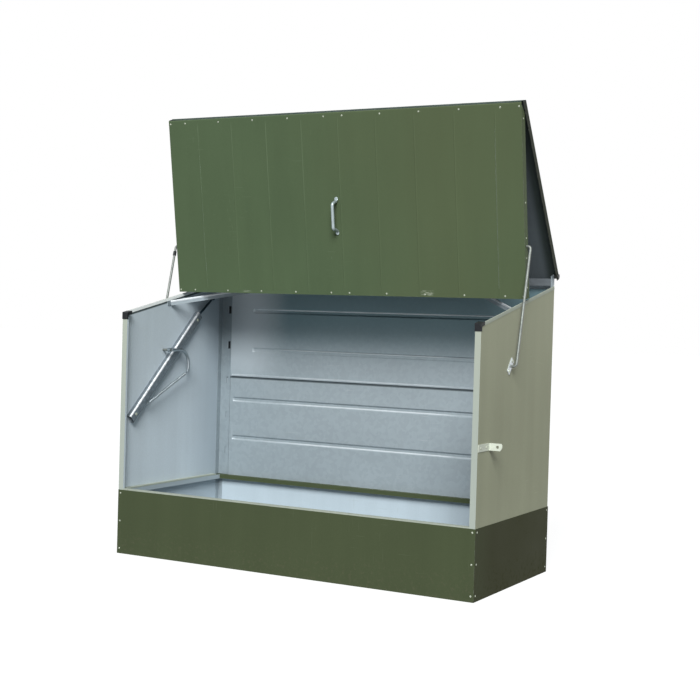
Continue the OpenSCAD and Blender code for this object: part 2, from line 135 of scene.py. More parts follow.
def channel_line(look):
    """Angle of the right spring channel, and the middles of its lower and upper ends."""
    low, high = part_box("spring_channels")
    angle = slant(high.y - low.y, high.z - low.z, look.channel_width)
    half = Vector((0.0, math.sin(angle), math.cos(angle))) * look.channel_width / 2
    foot, head = Vector((high.x, low.y, low.z)), Vector((high.x, high.y, high.z))
    return angle, foot + half, head - half


# ---------------------------------------------------------------- nodes

class Wiring:
    """Fills one emptied tree with nodes and wires them up."""

    def __init__(self, tree):
        self.tree = tree
        tree.nodes.clear()

    def put(self, kind, inputs=None, **settings):
        """A node; each named input takes a value or is wired to a socket."""
        node = self.tree.nodes.new(kind)
        for name, value in settings.items():
            setattr(node, name, value)
        for name, value in (inputs or {}).items():
            socket = node.inputs[name]
            if isinstance(value, bpy.types.NodeSocket):
                self.tree.links.new(value, socket)
            else:
                socket.default_value = value
        return node

    def first(self, kind, inputs=None, **settings):
        """First output of a new node."""
        return self.put(kind, inputs, **settings).outputs[0]

    def math(self, operation, *values):
        """Result of one Math node."""
        return self.first("ShaderNodeMath", dict(enumerate(values)), operation=operation)

    def product(self, value, *others):
        """All the values multiplied."""
        for other in others:
            value = self.math("MULTIPLY", value, other)
        return value

    def rest(self, value):
        """1 less a value."""
        return self.math("SUBTRACT", 1.0, value)

    def vector(self, operation, *values, out="Vector"):
        """Result of one Vector Math node."""
        inputs = dict(enumerate(values))
        return self.put("ShaderNodeVectorMath", inputs, operation=operation).outputs[out]

    def scaled(self, vector, factor):
        """A vector or colour times a number."""
        return self.first("ShaderNodeVectorMath", {0: vector, "Scale": factor}, operation="SCALE")

    def blended(self, factor, value, other):
        """A number that runs from one value to another."""
        return self.first("ShaderNodeMix", {0: factor, 2: value, 3: other}, data_type="FLOAT")

    def fade(self, value, start, end, low=0.0, high=1.0):
        """Smooth step of a value from start to end."""
        inputs = {"Value": value, "From Min": start, "From Max": end, "To Min": low, "To Max": high}
        return self.first("ShaderNodeMapRange", inputs, interpolation_type="SMOOTHSTEP")

    def split(self, vector):
        """The three coordinates of a vector."""
        return self.put("ShaderNodeSeparateXYZ", {0: vector}).outputs

    def joined(self, **coordinates):
        """A vector from some of its coordinates."""
        return self.first("ShaderNodeCombineXYZ", coordinates)


# ---------------------------------------------------------------- finishes

class Surface(Wiring):
    """A material in the making: base colour, roughness and height, laid on coat by coat."""

    def __init__(self, name, colour, roughness, metallic=0.0, specular=0.5):
        self.material = bpy.data.materials.new(name)
        self.material.use_nodes = True
        super().__init__(self.material.node_tree)
        coordinates = self.put("ShaderNodeTexCoord")
        self.place = coordinates.outputs["Object"]
        self.way = coordinates.outputs["Normal"]
        self.axes = self.split(self.place)
        self.faces = self.split(self.way)
        self.colour = self.first("ShaderNodeRGB")
        self.colour.default_value = (*colour, 1.0)
        self.roughness = roughness
        self.metallic = metallic
        self.specular = specular
        self.normal = None

    def turned_in(self, inside):
        """1 on faces that look towards a point inside the store."""
        away = self.vector("SUBTRACT", self.place, tuple(inside))
        towards = self.vector("DOT_PRODUCT", away, self.way, out="Value")
        return self.math("LESS_THAN", towards, 0.0)

    def ridge(self):
        """Where a pressed or folded ridge takes a painted highlight, kept in the mesh."""
        return self.put("ShaderNodeAttribute", attribute_name="ridge").outputs["Fac"]

    def between(self, letter, low, high, soft):
        """1 between two values of a coordinate, with soft ends."""
        value = self.axes[letter]
        return self.product(self.fade(value, low - soft, low + soft),
                            self.fade(value, high + soft, high - soft))

    def noise(self, scale, detail=3.0, roughness=0.5, stretch=None):
        """Soft noise from 0 to 1, so many times a metre, maybe drawn out by a scale for each axis."""
        place = self.place
        if stretch:
            place = self.first("ShaderNodeMapping", {"Vector": place, "Scale": stretch})
        inputs = {"Vector": place, "Scale": scale, "Detail": detail, "Roughness": roughness}
        return self.put("ShaderNodeTexNoise", inputs).outputs["Fac"]

    def spots(self, scale, detail, roughness, start, end):
        """Patches of a noise between two of its levels."""
        return self.fade(self.noise(scale, detail, roughness), start, end)

    def cells(self, scale):
        """A random value for each crystal of a spangled coat."""
        cell = self.put("ShaderNodeTexVoronoi", {"Vector": self.place, "Scale": scale})
        return self.first("ShaderNodeSeparateColor", {0: cell.outputs["Color"]})

    def tint(self, mask, colour, amount):
        """Lays a colour over the base where the mask is up."""
        inputs = {0: self.product(mask, amount), 6: self.colour, 7: (*colour, 1.0)}
        self.colour = self.put("ShaderNodeMix", inputs, data_type="RGBA").outputs[2]

    def shade(self, mask, darkest, lightest):
        """Multiplies the base colour by a grey between two levels."""
        inputs = {"Value": mask, "From Min": 0.25, "From Max": 0.75,
                  "To Min": darkest, "To Max": lightest}
        self.colour = self.scaled(self.colour, self.first("ShaderNodeMapRange", inputs))

    def roughen(self, mask, amount):
        """Adds to the roughness where the mask is up."""
        self.roughness = self.math("MULTIPLY_ADD", mask, amount, self.roughness)

    def lay(self, mask, colour, amount, roughness):
        """Tints and roughens by one mask."""
        self.tint(mask, colour, amount)
        self.roughen(mask, roughness)

    def emboss(self, height, depth):
        """Raises the surface by a height from 0 to 1, at a depth in metres."""
        inputs = {"Height": height, "Distance": depth, "Strength": 1.0}
        if self.normal is not None:
            inputs["Normal"] = self.normal
        self.normal = self.first("ShaderNodeBump", inputs)

    def edges(self, radius):
        """1 along sharp edges and 0 on the flat."""
        soft = self.first("ShaderNodeBevel", {"Radius": radius}, samples=4)
        hard = self.put("ShaderNodeNewGeometry").outputs["True Normal"]
        return self.fade(self.vector("DOT_PRODUCT", soft, hard, out="Value"), 0.96, 0.8)

    def finish(self):
        """Wires the coats to the shader."""
        rough = self.math("MINIMUM", self.math("MAXIMUM", self.roughness, 0.08), 0.95)
        inputs = {"Base Color": self.colour, "Roughness": rough, "Metallic": self.metallic,
                  "Specular IOR Level": self.specular}
        if self.normal is not None:
            inputs["Normal"] = self.normal
        shader = self.first("ShaderNodeBsdfPrincipled", inputs)
        self.put("ShaderNodeOutputMaterial", {"Surface": shader})
        return self.material


def scratched(coat, colour, amount):
    """Thin rubs in two directions, lighter than the coat."""
    for stretch in ((60.0, 60.0, 2.2), (3.0, 3.0, 75.0)):
        lines = coat.fade(coat.noise(3.0, 2.0, 0.4, stretch), 0.69, 0.73)
        mask = coat.product(lines, coat.spots(2.4, 2.0, 0.5, 0.52, 0.66))
        coat.lay(mask, colour, amount, 0.1)


def weathered(coat, look, dust, mud):
    """Dust on what faces up and splashes near the ground."""
    up = coat.fade(coat.faces["Z"], 0.5, 0.95)
    resting = coat.product(up, coat.spots(11.0, 4.0, 0.5, 0.35, 0.7))
    coat.lay(resting, dust, 0.35 * look.grime, 0.25)
    low = coat.fade(coat.axes["Z"], 0.2, 0.0)
    splash = coat.product(low, coat.spots(55.0, 4.0, 0.65, 0.5, 0.72))
    coat.lay(splash, mud, 0.4 * look.grime, 0.2)


def coated_sheet(name, colour, look, inside=None, back=None, top=9.0, roughness=0.48, waves=0.0011):
    """Plastic-coated steel sheet: leather grain, slight waves, rubs, dust, and a grey back coat."""
    coat = Surface(name, colour, roughness, specular=look.gloss)
    if inside is not None:
        inner = coat.product(coat.turned_in(inside), coat.between("Z", -9.0, top, 0.0001))
        coat.tint(inner, back or look.back_coat, 1.0)
    coat.shade(coat.noise(1.6, 4.0), 0.94, 1.06)
    coat.shade(coat.noise(1.0, 3.0, 0.5, (13.0, 13.0, 0.7)), 0.955, 1.035)
    coat.shade(coat.noise(140.0, 2.0), 0.97, 1.03)
    scratched(coat, tuple(min(1.0, channel * 1.7 + 0.06) for channel in colour), 0.3 * look.wear)
    weathered(coat, look, (0.36, 0.35, 0.31), (0.17, 0.14, 0.1))
    worn = coat.product(coat.edges(0.0016), coat.spots(46.0, 3.0, 0.5, 0.42, 0.62))
    coat.tint(worn, (0.5, 0.51, 0.5), 0.7 * look.wear)
    coat.roughen(coat.noise(4.5, 4.0), 0.14)
    coat.emboss(coat.noise(2.3, 1.0), waves)
    coat.emboss(coat.noise(620.0, 2.0, 0.6), 0.00006)
    return coat


def door_coat(look, inside):
    """The door's coat: browner to the right, painted highlights along the swages, and scuffed above
    its foot.
    """
    coat = coated_sheet("olive_door_coat", look.olive, look, inside)
    outer = coat.rest(coat.turned_in(inside))
    rightward = coat.fade(coat.axes["X"], -0.9, 0.7, -0.45, 0.25)
    drift = coat.math("MULTIPLY_ADD", coat.noise(1.1, 2.0), 0.9, rightward)
    coat.tint(coat.product(outer, coat.fade(drift, 0.15, 0.85)), look.warm_olive, 0.45)
    # Painted highlights: lighter lines along the swages, strong on the left part and higher up.
    broken = coat.fade(coat.noise(1.0, 3.0, 0.5, (9.0, 9.0, 3.2)), 0.4, 0.62)
    painted_highlight = coat.product(coat.ridge(), coat.math("MULTIPLY_ADD", broken, 0.85, 0.15))
    leftward = coat.fade(coat.axes["X"], 0.2, -0.3, 0.12, 1.0)
    upward = coat.fade(coat.axes["Z"], DOOR_LOW.z, DOOR_LOW.z + 0.7, 0.4, 1.0)
    coat.tint(coat.product(painted_highlight, leftward, upward), (0.15, 0.2, 0.12), 0.9 * look.wear)
    foot = DOOR_LOW.z + 0.006
    smear = coat.fade(coat.noise(1.0, 4.0, 0.7, (40.0, 40.0, 170.0)), 0.46, 0.6)
    for left, right, rise in look.scuffs():
        spot = coat.product(coat.between("X", left, right, 0.012),
                            coat.between("Z", foot, foot + rise, 0.004), smear, outer)
        coat.lay(spot, (0.55, 0.58, 0.47), 0.7 * look.wear, 0.2)
    return coat


def galvanised_sheet(name, colour, look):
    """Zinc-dipped sheet: faint crystals, dull patches, a little white bloom low down, and painted
    highlights on the ridges marked in the mesh.
    """
    coat = Surface(name, colour, 0.42, metallic=0.3, specular=0.4)
    spangle = coat.cells(58.0)
    coat.shade(spangle, 0.965, 1.035)
    coat.shade(coat.noise(1.9, 4.0), 0.95, 1.05)
    coat.shade(coat.noise(1.3, 3.0, 0.5, (1.0, 1.0, 7.0)), 0.975, 1.025)
    scratched(coat, (0.7, 0.72, 0.74), 0.35 * look.wear)
    low = coat.fade(coat.axes["Z"], 0.5, 0.02)
    bloom = coat.product(low, coat.spots(15.0, 5.0, 0.6, 0.55, 0.78))
    coat.lay(bloom, (0.66, 0.68, 0.69), 0.5 * look.grime, 0.25)
    weathered(coat, look, (0.4, 0.39, 0.35), (0.2, 0.17, 0.13))
    # Painted highlight: lighter lines on the ridges marked in the mesh, broken by noise, stronger
    # high up.
    glint = coat.fade(coat.noise(1.0, 3.0, 0.5, (3.0, 3.0, 1.0)), 0.36, 0.6)
    painted_highlight = coat.product(coat.ridge(), coat.math("MULTIPLY_ADD", glint, 0.8, 0.2))
    coat.tint(painted_highlight, (0.9, 0.93, 0.95), coat.fade(coat.axes["Z"], 1.08, 1.16, 0.5, 0.8))
    coat.roughen(spangle, 0.08)
    coat.roughen(coat.noise(5.0, 4.0), 0.12)
    coat.emboss(coat.noise(2.6, 1.0), 0.0012)
    coat.emboss(spangle, 0.00003)
    return coat


def back_sheet(look):
    """The back wall's sheets: painted shade inside that darkens to the top, painted light on the
    upper left part, painted highlights on the beads, and a painted shadow under the hem.
    """
    coat = galvanised_sheet("back_sheet", look.zinc, look)
    # Painted shade: the inner face darker and bluer towards the top, except near the left end.
    inner = coat.fade(coat.faces["Y"], 0.2, -0.2)
    high = coat.product(coat.fade(coat.axes["Z"], 0.92, 1.18), inner)
    inward = coat.fade(coat.axes["X"], -0.8, -0.5)
    coat.tint(coat.product(high, inward, coat.rest(coat.ridge())), look.painted_shade, 0.6)
    # Painted light: the upper inner face lighter near the left end.
    raised = coat.product(coat.fade(coat.axes["Z"], 0.78, 0.95), inner)
    coat.tint(coat.product(raised, coat.rest(inward)), (0.66, 0.72, 0.76), 0.6)
    # Painted highlight on the ridges high up, from just inside the left end.
    start = coat.fade(coat.axes["X"], -0.735, -0.71)
    coat.tint(coat.product(coat.ridge(), high, start), (0.9, 0.95, 0.97), 0.5)
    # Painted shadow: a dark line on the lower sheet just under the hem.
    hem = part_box("back_wall_upper")[0].z
    coat.tint(coat.between("Z", hem - 0.012, hem - 0.001, 0.002), (0.03, 0.045, 0.05), 0.75)
    return coat


def plated_steel(name, colour, look, roughness=0.24, metallic=0.9):
    """Zinc-plated bar and plate: bright, faintly drawn along its length, dulled in places, with a
    painted highlight on the folds marked in the mesh.
    """
    coat = Surface(name, colour, roughness, metallic=metallic)
    coat.shade(coat.noise(26.0, 4.0), 0.86, 1.1)
    dull = coat.spots(60.0, 5.0, 0.6, 0.48, 0.7)
    coat.tint(dull, (0.3, 0.31, 0.31), 0.4 * look.grime)
    # Painted highlight along the folds marked in the mesh.
    coat.tint(coat.ridge(), (0.95, 0.97, 1.0), 1.0)
    coat.roughen(dull, 0.2)
    coat.roughen(coat.noise(1.0, 2.0, 0.5, (900.0, 900.0, 35.0)), 0.1)
    coat.tint(coat.spots(240.0, 3.0, 0.5, 0.68, 0.76), (0.2, 0.12, 0.06), 0.35 * look.grime)
    coat.emboss(coat.noise(300.0, 3.0), 0.00004)
    return coat


def drawn_channel(look):
    """Galvanised channel, mottled light and dark."""
    coat = plated_steel("drawn_channel", look.channel, look, 0.38, 0.7)
    coat.shade(coat.noise(75.0, 4.0, 0.7), 0.55, 1.35)
    return coat


def moulded_plastic(name, colour, look):
    """Black moulding with a fine spark finish, greyed a little by the weather."""
    coat = Surface(name, colour, 0.5, specular=0.25)
    coat.shade(coat.noise(40.0, 4.0), 0.85, 1.2)
    coat.lay(coat.spots(70.0, 4.0, 0.5, 0.45, 0.7), (0.1, 0.11, 0.1), 0.25 * look.grime, 0.15)
    coat.emboss(coat.noise(900.0, 2.0), 0.00006)
    return coat


def blackened_steel(name, colour, look):
    """Dark oiled steel of pins and spring rods, worn bright on its corners."""
    coat = Surface(name, colour, 0.42, metallic=0.5, specular=0.3)
    coat.shade(coat.noise(45.0, 4.0), 0.8, 1.25)
    coat.tint(coat.edges(0.0009), (0.4, 0.4, 0.39), 0.6 * look.wear)
    coat.lay(coat.spots(120.0, 5.0, 0.65, 0.58, 0.74), (0.14, 0.07, 0.035), 0.4 * look.grime, 0.3)
    coat.emboss(coat.noise(420.0, 3.0), 0.00006)
    return coat


def base_coat(look, inside):
    """The base's coat: grey inside, lightened there as painted light, greyer on the ends' inner faces
    and lips, and darker and browner on its outer ends as painted shade.
    """
    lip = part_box("base_front")[1].z - LIP_FOLD
    coat = coated_sheet("olive_base_coat", look.base_olive, look, inside, look.lightened_base_back_coat, lip)
    across = coat.fade(coat.math("ABSOLUTE", coat.faces["X"]), 0.8, 0.95)
    inner = coat.turned_in(inside)
    # Painted light: the ends' inner faces taken towards the lightened back coat.
    coat.tint(coat.product(across, inner), look.lightened_base_back_coat, 0.75)
    # Painted shade: the outer ends darker and browner, less so towards the front.
    rearward = coat.fade(coat.axes["Y"], -0.43, -0.2, 0.7, 0.95)
    coat.tint(coat.product(across, coat.rest(inner), rearward), look.base_end_shade, 1.0)
    return coat


def lid_coat(look, inside):
    """The lid's coat: a grey back, darkened as painted shade, with more painted shade along its side
    edges inside and on the up-facing faces of its front lip.
    """
    coat = coated_sheet("olive_lid_coat", look.olive, look, inside, look.shaded_lid_back_coat)
    # Painted shade along the lid's side edges inside, and on the up-facing faces of its front lip.
    beside = coat.fade(coat.math("ABSOLUTE", coat.axes["X"]), 0.885, 0.93)
    coat.tint(coat.product(beside, coat.turned_in(inside)), (0.03, 0.04, 0.035), 0.85)
    coat.tint(coat.fade(coat.faces["Z"], 0.8, 0.9), (0.02, 0.04, 0.032), 0.9)
    return coat


def wall_coat(look, inside):
    """The side walls' coat: front-facing faces paler as painted light, grey inside and darker towards
    the rear as painted shade, lighter high up outside as painted light, and a painted shadow line
    under the rim trim.
    """
    coat = coated_sheet("sage_coat", look.sage, look, inside)
    # Painted light: front-facing faces paler and bluer.
    coat.tint(coat.fade(coat.faces["Y"], -0.7, -0.95), look.flange, 0.9)
    inner = coat.turned_in(inside)
    # Painted shade: the inner face darker towards the rear.
    coat.tint(coat.product(inner, coat.fade(coat.axes["Y"], 0.05, 0.4)), (0.33, 0.39, 0.44), 0.7)
    # Painted light: the outer face lighter towards the top.
    upper = coat.product(coat.rest(inner), coat.fade(coat.axes["Z"], 0.6, 1.3))
    coat.tint(upper, (0.5, 0.51, 0.38), 0.3)
    # Painted shadow: a dark line on the inner face just under the rim trim.
    front, rear = wall_top()
    slope = (rear.z - front.z) / (rear.y - front.y)
    level = coat.math("MULTIPLY_ADD", coat.axes["Y"], -slope, coat.axes["Z"])
    edge = front.z - slope * front.y - RIM_DROP
    line = coat.product(coat.fade(level, edge - 0.014, edge - 0.007), inner)
    coat.tint(line, (0.05, 0.07, 0.07), 0.95)
    return coat


def trim_sheet(name, colour, look):
    """Smoother coat of sills, tabs and trims."""
    return coated_sheet(name, colour, look, roughness=0.38, waves=0.0004)


def trim_coat(look, inside):
    """Pale trim of the walls' rims, painted near white on its inner lip as painted light."""
    coat = trim_sheet("rim_trim_coat", look.trim, look)
    # Painted light: the inner lip near white.
    coat.tint(coat.turned_in(inside), (0.93, 0.95, 0.94), 1.0)
    return coat


MATERIALS = {}
NODE_FINISH = {"link_rods": "rod", "spring_levers": "lever", "spring_rods": "tail",
               "rod_brackets": "bright", "rear_rail": "rail", "side_sills": "sill",
               "front_sill": "sill", "lid_flanges": "lid_flange", "door_hinge": "hinge",
               "corner_posts": "post"}


def make_materials(look):
    """One finish for each slot of the record, and for the nodes that look unlike their slot."""
    cabin = Vector((0.0, middle("base_right").y, 0.1))
    behind_door = middle("door_rails") + Vector((0.0, 0.4, 0.1))
    under_lid = middle("lid_stiffeners") + Vector((0.0, -0.35, -0.1))
    coats = {
        "green": base_coat(look, cabin),
        "door": door_coat(look, behind_door),
        "lid": lid_coat(look, under_lid),
        "lid_flange": coated_sheet("lid_flange_coat", look.lid_flange, look),
        "hinge": coated_sheet("hinge_coat", look.hinge, look),
        "sage": wall_coat(look, cabin),
        "pale": trim_sheet("pale_trim_coat", look.pale, look),
        "trim": trim_coat(look, cabin),
        "sill": trim_sheet("sill_coat", look.sill, look),
        "galvanised": galvanised_sheet("galvanised_sheet", look.zinc, look),
        "back": back_sheet(look),
        "rail": galvanised_sheet("rail_sheet", look.rail, look),
        "zinc": plated_steel("plated_steel", look.plated, look),
        "bright": plated_steel("bright_plated_steel", look.bright, look, 0.34, 0.5),
        "lever": plated_steel("lever_steel", look.lever, look, 0.24, 0.92),
        "handle": plated_steel("handle_steel", look.handle, look, 0.36, 0.6),
        "screw": plated_steel("screw_steel", look.screw, look, 0.4, 0.6),
        "post": galvanised_sheet("post_sheet", look.post, look),
        "rod": plated_steel("dull_plated_rod", look.rod, look, 0.5, 0.8),
        "drawn": drawn_channel(look),
        "black_plastic": moulded_plastic("black_moulding", look.black, look),
        "dark_steel": blackened_steel("blackened_steel", look.dark, look),
        "tail": blackened_steel("blued_steel", look.tail, look),
    }
    for key, coat in coats.items():
        MATERIALS[key] = coat.finish()


# ---------------------------------------------------------------- meshes

def new_piece(name, points, faces, slot, smooth=None):
    """A mesh object at the origin with one finish; edges past the smooth angle stay sharp."""
    mesh = bpy.data.meshes.new(name)
    mesh.from_pydata([tuple(point) for point in points], [], faces)
    mesh.validate()
    mesh.update()
    if smooth is not None:
        mesh.shade_smooth()
        mesh.set_sharp_from_angle(angle=smooth)
    piece = bpy.data.objects.new(name, mesh)
    bpy.context.scene.collection.objects.link(piece)
    if slot:
        mesh.materials.append(MATERIALS[slot])
    return piece


def settle(piece, body, slot, *nodes):
    """The piece rides on a body and may stand for CAD nodes; the slot argument is not used."""
    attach(piece, body)
    if nodes:
        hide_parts(*nodes)


def mark_ridges(piece, values):
    """Keeps in the mesh how strongly each point takes a ridge's painted highlight."""
    piece.data.attributes.new("ridge", "FLOAT", "POINT")
    piece.data.attributes["ridge"].data.foreach_set("value", values)


def pressed_sheet(name, columns, rows, front, ridge, slot, smooth, place=Matrix()):
    """Closed sheet over a grid: front(u, v) gives a point, ridge(u, v) how strongly it takes a
    painted highlight.
    """
    wide, tall = len(columns), len(rows)
    face = [front(u, v) for v in rows for u in columns]
    points = [place @ point for point in face + [point + BACK * SHEET for point in face]]
    count = wide * tall
    faces = []
    for r in range(tall - 1):
        for c in range(wide - 1):
            a = r * wide + c
            faces.append((a, a + 1, a + 1 + wide, a + wide))
            b = a + count
            faces.append((b, b + wide, b + 1 + wide, b + 1))
    rim = [c for c in range(wide)]
    rim += [r * wide + wide - 1 for r in range(1, tall)]
    rim += [(tall - 1) * wide + c for c in range(wide - 2, -1, -1)]
    rim += [r * wide for r in range(tall - 2, 0, -1)]
    for a, b in zip(rim, rim[1:] + rim[:1]):
        faces.append((b, a, a + count, b + count))
    sheet = new_piece(name, points, faces, slot, math.radians(smooth))
    mark_ridges(sheet, [ridge(u, v) for v in rows for u in columns] * 2)
    return sheet


def folded(path, thickness, radius, bright=()):
    """Outline of a strip bent along a path, with rounded folds: points and their ridge values, a
    painted highlight on the folds listed in bright.
    """
    line = [(Vector(path[0]), 0.0)]
    steps = 8
    for index in range(1, len(path) - 1):
        corner = Vector(path[index])
        back = (Vector(path[index - 1]) - corner).normalized()
        on = (Vector(path[index + 1]) - corner).normalized()
        half = math.acos(max(-1.0, min(1.0, back.dot(on)))) / 2
        centre = corner + (back + on).normalized() * (radius / math.sin(half))
        start = corner + back * (radius / math.tan(half)) - centre
        stop = corner + on * (radius / math.tan(half)) - centre
        sweep = math.atan2(start.cross(stop), start.dot(stop))
        for k in range(steps + 1):
            turn = Matrix.Rotation(sweep * k / steps, 2)
            value = ease(1.6 * (1.0 - abs(2 * k / steps - 1.0))) if index - 1 in bright else 0.0
            line.append((centre + turn @ start, value))
    line.append((Vector(path[-1]), 0.0))
    sides = ([], [])
    for index, (point, value) in enumerate(line):
        before = line[max(0, index - 1)][0]
        after = line[min(len(line) - 1, index + 1)][0]
        along = (after - before).normalized()
        normal = Vector((-along.y, along.x)) * thickness / 2
        sides[0].append((point + normal, value))
        sides[1].append((point - normal, value))
    outline = sides[0] + sides[1][::-1]
    return [point for point, value in outline], [value for point, value in outline]


def drawn_bars(name, outline, ridges, runs, slot):
    """Closed bars with one outline; a run is (start, end, way of the outline's X, way of its Y)."""
    points, faces, values = [], [], []
    count = len(outline)
    for start, end, across, out in runs:
        base = len(points)
        for station in (start, end):
            points += [station + across * p.x + out * p.y for p in outline]
            values += ridges
        near = [base + k for k in range(count)]
        far = [index + count for index in near]
        for k in range(count):
            n = (k + 1) % count
            faces.append((near[k], near[n], far[n], far[k]))
        faces += [near[::-1], far]
    bars = new_piece(name, points, faces, slot, math.radians(35))
    shell = bmesh.new()
    shell.from_mesh(bars.data)
    bmesh.ops.recalc_face_normals(shell, faces=shell.faces)
    shell.to_mesh(bars.data)
    shell.free()
    mark_ridges(bars, values)
    return bars


def both_sides(*run):
    """A run of the right side and its mirror image on the left, left first."""
    return [tuple(vector * Vector((side, 1.0, 1.0)) for vector in run) for side in SIDES]


def spread(low, high, step):
    """Evenly spaced values from low to high, no further apart than a step."""
    count = max(1, math.ceil((high - low) / step))
    return [low + (high - low) * k / count for k in range(count + 1)]


def merged(values, gap):
    """Sorted values with near doubles left out."""
    kept = []
    for value in sorted(values):
        if not kept or value - kept[-1] > gap:
            kept.append(value)
    return kept


def ease(t):
    """Smooth step from 0 to 1."""
    t = min(1.0, max(0.0, t))
    return t * t * (3.0 - 2.0 * t)


# ---------------------------------------------------------------- geometry trees

class Growth(Wiring):
    """A geometry tree with a mesh input, named sizes and one mesh output."""

    def __init__(self, name, **sizes):
        super().__init__(bpy.data.node_groups.new(name, "GeometryNodeTree"))
        sockets = self.tree.interface
        sockets.new_socket("Geometry", in_out="INPUT", socket_type="NodeSocketGeometry")
        for kind, labels in sizes.items():
            for label in labels:
                sockets.new_socket(label, in_out="INPUT", socket_type="NodeSocket" + kind)
        sockets.new_socket("Geometry", in_out="OUTPUT", socket_type="NodeSocketGeometry")
        self.given = self.tree.nodes.new("NodeGroupInput").outputs

    def step(self, kind, inputs=None, **settings):
        """First output of a new geometry node."""
        return self.first("GeometryNode" + kind, inputs, **settings)

    def kept(self, name, kind):
        """A value kept on the points of the mesh."""
        return self.step("InputNamedAttribute", {"Name": name}, data_type=kind)

    def keep(self, geometry, name, value, kind):
        """Keeps a value on the points."""
        return self.step("StoreNamedAttribute", {"Geometry": geometry, "Name": name, "Value": value},
                         data_type=kind, domain="POINT")

    def tube(self, path, resolution, radius):
        """Round tube along a curve, with closed ends."""
        ring = self.step("CurvePrimitiveCircle", {"Resolution": resolution, "Radius": radius})
        return self.step("CurveToMesh", {"Curve": path, "Profile Curve": ring, "Fill Caps": True})

    def smooth(self, geometry):
        """The same geometry, shaded smooth."""
        return self.step("SetShadeSmooth", {"Geometry": geometry, "Shade Smooth": True})

    def aligned(self):
        """Rotation that stands each piece along the facing of its seed."""
        inputs = {"Vector": self.kept("facing", "FLOAT_VECTOR")}
        return self.first("FunctionNodeAlignRotationToVector", inputs, axis="Z")

    def close(self, geometry, material):
        """Realize Instances and Set Material close every tree."""
        real = self.step("RealizeInstances", {"Geometry": geometry})
        dressed = self.step("SetMaterial", {"Geometry": real, "Material": material})
        self.put("NodeGroupOutput", {"Geometry": dressed})
        return self.tree


def grow(name, seeds, tree, sizes, sharp=None):
    """Runs a tree once over a seed mesh and keeps the result as a plain mesh."""
    piece = bpy.data.objects.new(name, seeds)
    bpy.context.scene.collection.objects.link(piece)
    modifier = piece.modifiers.new(name, "NODES")
    modifier.node_group = tree
    for item in tree.interface.items_tree:
        if item.item_type == "SOCKET" and item.in_out == "INPUT" and item.name in sizes:
            modifier[item.identifier] = sizes[item.name]
    bpy.context.view_layer.update()
    shape = piece.evaluated_get(bpy.context.evaluated_depsgraph_get())
    mesh = bpy.data.meshes.new_from_object(shape)
    piece.modifiers.clear()
    piece.data = mesh
    mesh.name = name
    if sharp is not None:
        mesh.set_sharp_from_angle(angle=math.radians(sharp))
    return piece


def seed_points(name, places):
    """Mesh of loose points; each place is (point, way it faces, size)."""
    mesh = bpy.data.meshes.new(name)
    mesh.from_pydata([tuple(point) for point, facing, size in places], [], [])
    mesh.attributes.new("facing", "FLOAT_VECTOR", "POINT")
    mesh.attributes.new("size", "FLOAT", "POINT")
    for index, (point, facing, size) in enumerate(places):
        mesh.attributes["facing"].data[index].vector = facing
        mesh.attributes["size"].data[index].value = size
    return mesh


def screw_tree(material):
    """A flanged pan-head screw with a cross recess on every seed point."""
    tree = Growth("Screws", Float=("Head Radius", "Head Height", "Flange Radius", "Recess Width"),
                  Int=("Seed",))
    radius, height = tree.given["Head Radius"], tree.given["Head Height"]
    head = tree.step("MeshCylinder", {"Vertices": 18, "Side Segments": 1, "Fill Segments": 4,
                                      "Radius": radius, "Depth": height}, fill_type="NGON")
    place = tree.step("InputPosition")
    flat = tree.vector("MULTIPLY", place, (1.0, 1.0, 0.0))
    out = tree.math("DIVIDE", tree.vector("LENGTH", flat, out="Value"), radius)
    dome = tree.math("SQRT", tree.math("MAXIMUM", tree.rest(tree.product(out, out)), 0.0))
    level = tree.product(height, tree.math("MULTIPLY_ADD", dome, 0.5, 0.5))
    is_top = tree.math("GREATER_THAN", tree.split(place)["Z"], 0.0)
    domed = tree.vector("ADD", flat, tree.joined(Z=tree.product(level, is_top)))
    head = tree.step("SetPosition", {"Geometry": head, "Position": domed})
    narrow, span = tree.given["Recess Width"], tree.product(radius, 1.15)
    deep = tree.product(height, 0.9)
    for x, y in ((span, narrow), (narrow, span)):
        bar = tree.step("MeshCube", {"Size": tree.joined(X=x, Y=y, Z=deep)})
        bar = tree.step("Transform", {"Geometry": bar, "Translation": tree.joined(Z=height)})
        head = tree.step("MeshBoolean", {"Mesh 1": head, "Mesh 2": bar}, operation="DIFFERENCE")
    thick = tree.product(height, 0.28)
    flange = tree.step("MeshCylinder", {"Vertices": 20, "Radius": tree.given["Flange Radius"],
                                        "Depth": thick})
    lift = tree.joined(Z=tree.product(thick, 0.5))
    seat = tree.step("Transform", {"Geometry": flange, "Translation": lift})
    whole = tree.put("GeometryNodeJoinGeometry")
    for part in (head, seat):
        tree.tree.links.new(part, whole.inputs[0])
    chance = {"Min": 0.0, "Max": math.tau, "Seed": tree.given["Seed"]}
    turn = tree.put("FunctionNodeRandomValue", chance, data_type="FLOAT").outputs[1]
    turned = tree.first("FunctionNodeRotateRotation",
                        {"Rotation": tree.aligned(), "Rotate By": tree.joined(Z=turn)},
                        rotation_space="LOCAL")
    spots = tree.step("InstanceOnPoints", {"Points": tree.given["Geometry"],
                                           "Instance": whole.outputs[0], "Rotation": turned,
                                           "Scale": tree.kept("size", "FLOAT")})
    return tree.close(spots, material)


